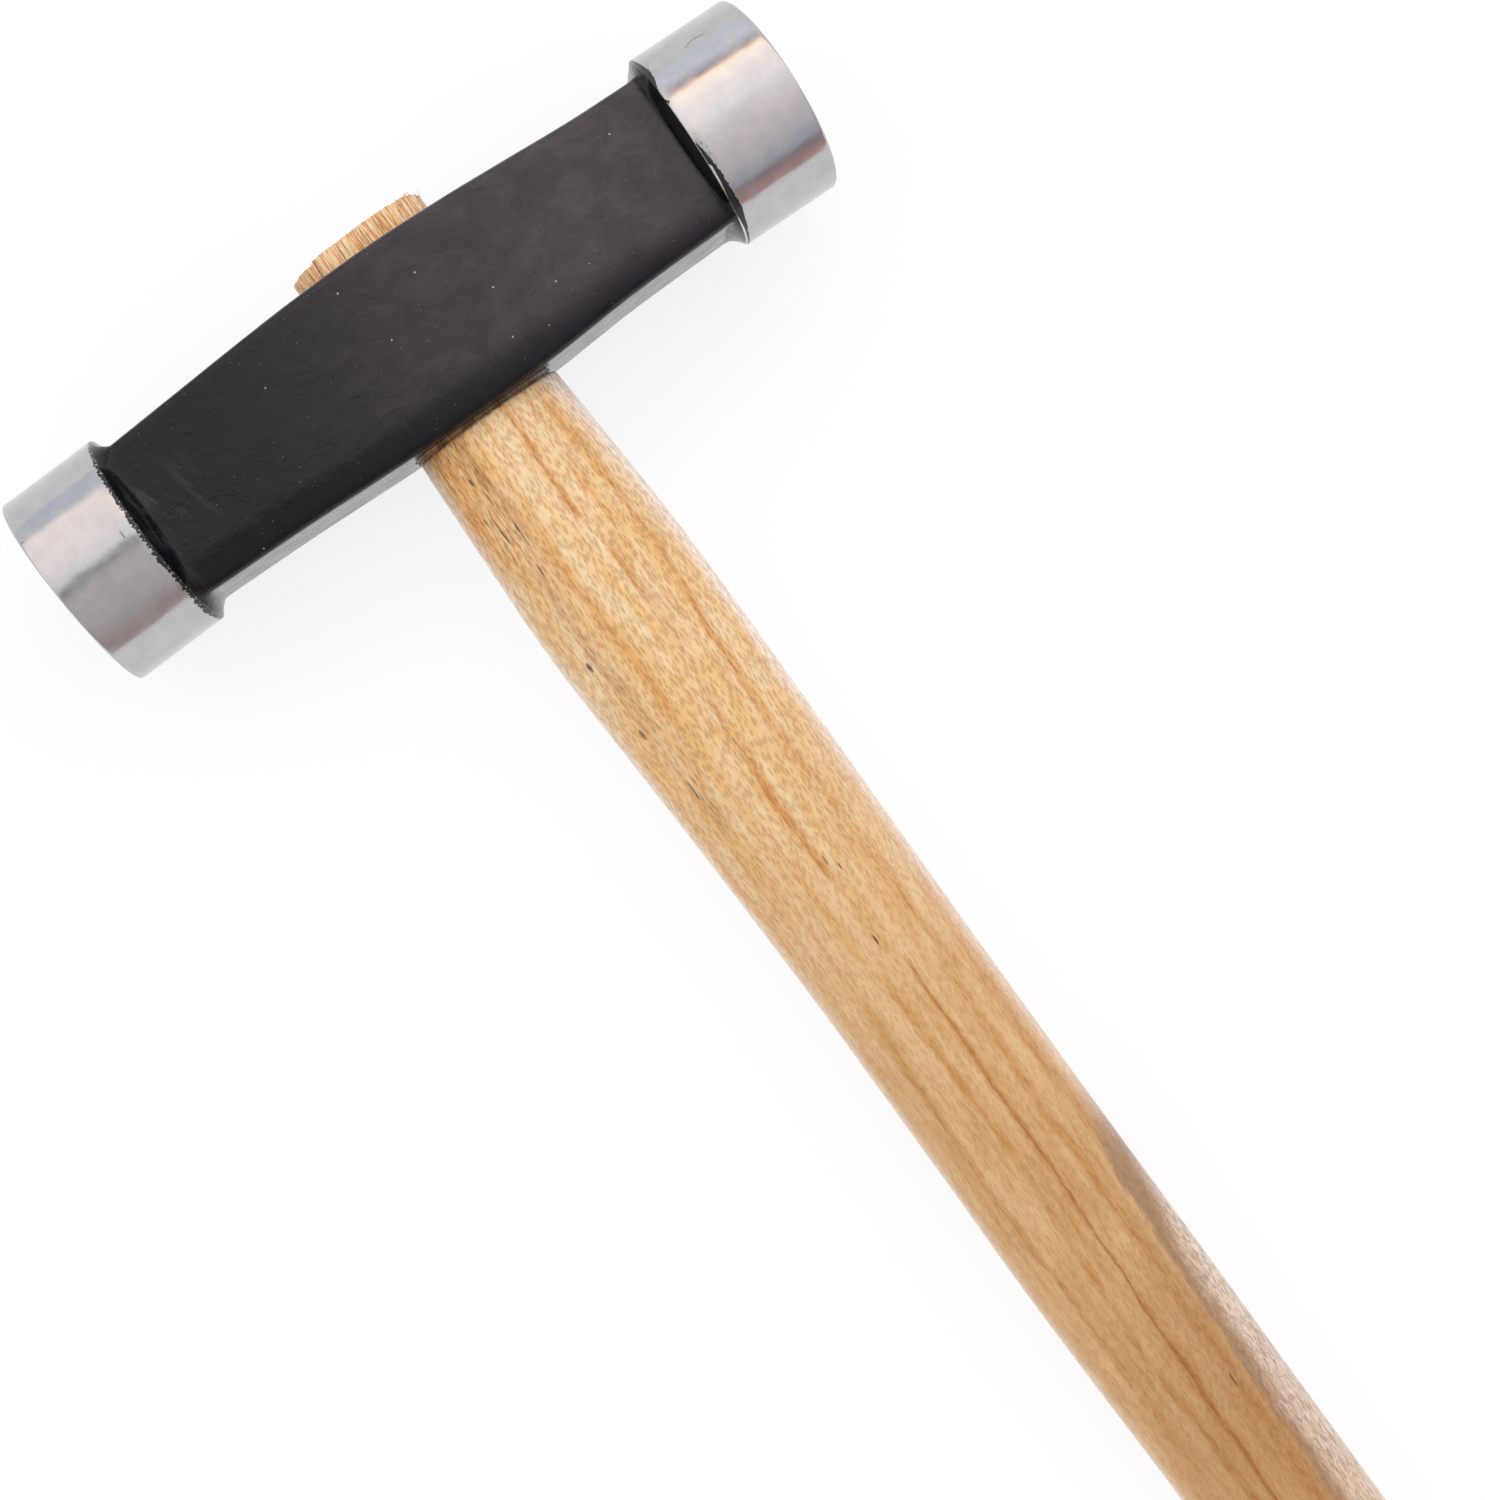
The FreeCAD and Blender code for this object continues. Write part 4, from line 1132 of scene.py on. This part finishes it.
def make_floor():
    """A pale floor: white to the camera, with the hammer's shadow kept faintly."""
    bm = bmesh.new()
    bmesh.ops.create_grid(bm, x_segments=1, y_segments=1, size=FLOOR_REACH)
    mesh = bpy.data.meshes.new("floor")
    bm.to_mesh(mesh)
    bm.free()
    floor = bpy.data.objects.new("floor", mesh)
    bpy.context.scene.collection.objects.link(floor)
    material = bpy.data.materials.new("floor")
    nodes = Nodes(material)
    seen = nodes.most(*(nodes.give("LightPath", "Is " + ray + " Ray")
                        for ray in ("Camera", "Glossy", "Transmission")))
    glow = nodes.give("Emission", 0, Color=(0.985, 0.99, 1.0),
                      Strength=seen.line(0, 1, *FLOOR_GLOW))
    matt = nodes.give("BsdfDiffuse", 0, Color=(0.9, 0.9, 0.9))
    mixer = nodes.node("MixShader")
    for socket, value in zip(mixer.inputs, (FLOOR_MATT, glow, matt)):
        nodes.put(socket, value)
    nodes.node("OutputMaterial", Surface=Value(nodes, mixer.outputs[0]))
    mesh.materials.append(material)


def make_world():
    """A soft studio: a wide pale bank beyond the head, a dimmer ceiling and a dark low side."""
    world = bpy.data.worlds.new("studio")
    bpy.context.scene.world = world
    nodes = Nodes(world)
    x, y, z = nodes.split(nodes.give("TexCoord", "Generated"))
    turn = nodes.math("ARCTAN2", y, z).line(-math.pi, math.pi)
    left, right = (nodes.ramp(turn, [((angle + 180) / 360, colour) for angle, colour in light])
                   for light in (LEFT_LIGHT, RIGHT_LIGHT))
    light = nodes.mix(x.line(*LIGHT_SIDES), left, right)
    shown = nodes.mix(nodes.give("LightPath", "Is Camera Ray"), light, (1, 1, 1))
    nodes.node("OutputWorld", Surface=nodes.give("Background", 0, Color=shown))


def make_camera():
    data = bpy.data.cameras.new("camera")
    data.sensor_width = SENSOR
    data.lens = SENSOR * FOCAL_PIXELS / PHOTO_HEIGHT
    data.clip_start = 0.01
    camera = bpy.data.objects.new("camera", data)
    bpy.context.scene.collection.objects.link(camera)
    nod, swing, roll = CAMERA_TURNS
    to_camera = (Matrix.Rotation(roll, 3, "Z") @ Matrix.Rotation(nod, 3, "X")
                 @ Matrix.Rotation(swing, 3, "Y"))
    world = (LYING.to_3x3() @ to_camera.transposed()).to_4x4()
    world.translation = (LYING @ EYE_POINT) * MM
    camera.matrix_world = world
    bpy.context.scene.camera = camera


make_floor()
make_world()
make_camera()
bpy.context.scene.view_settings.view_transform = "Standard"
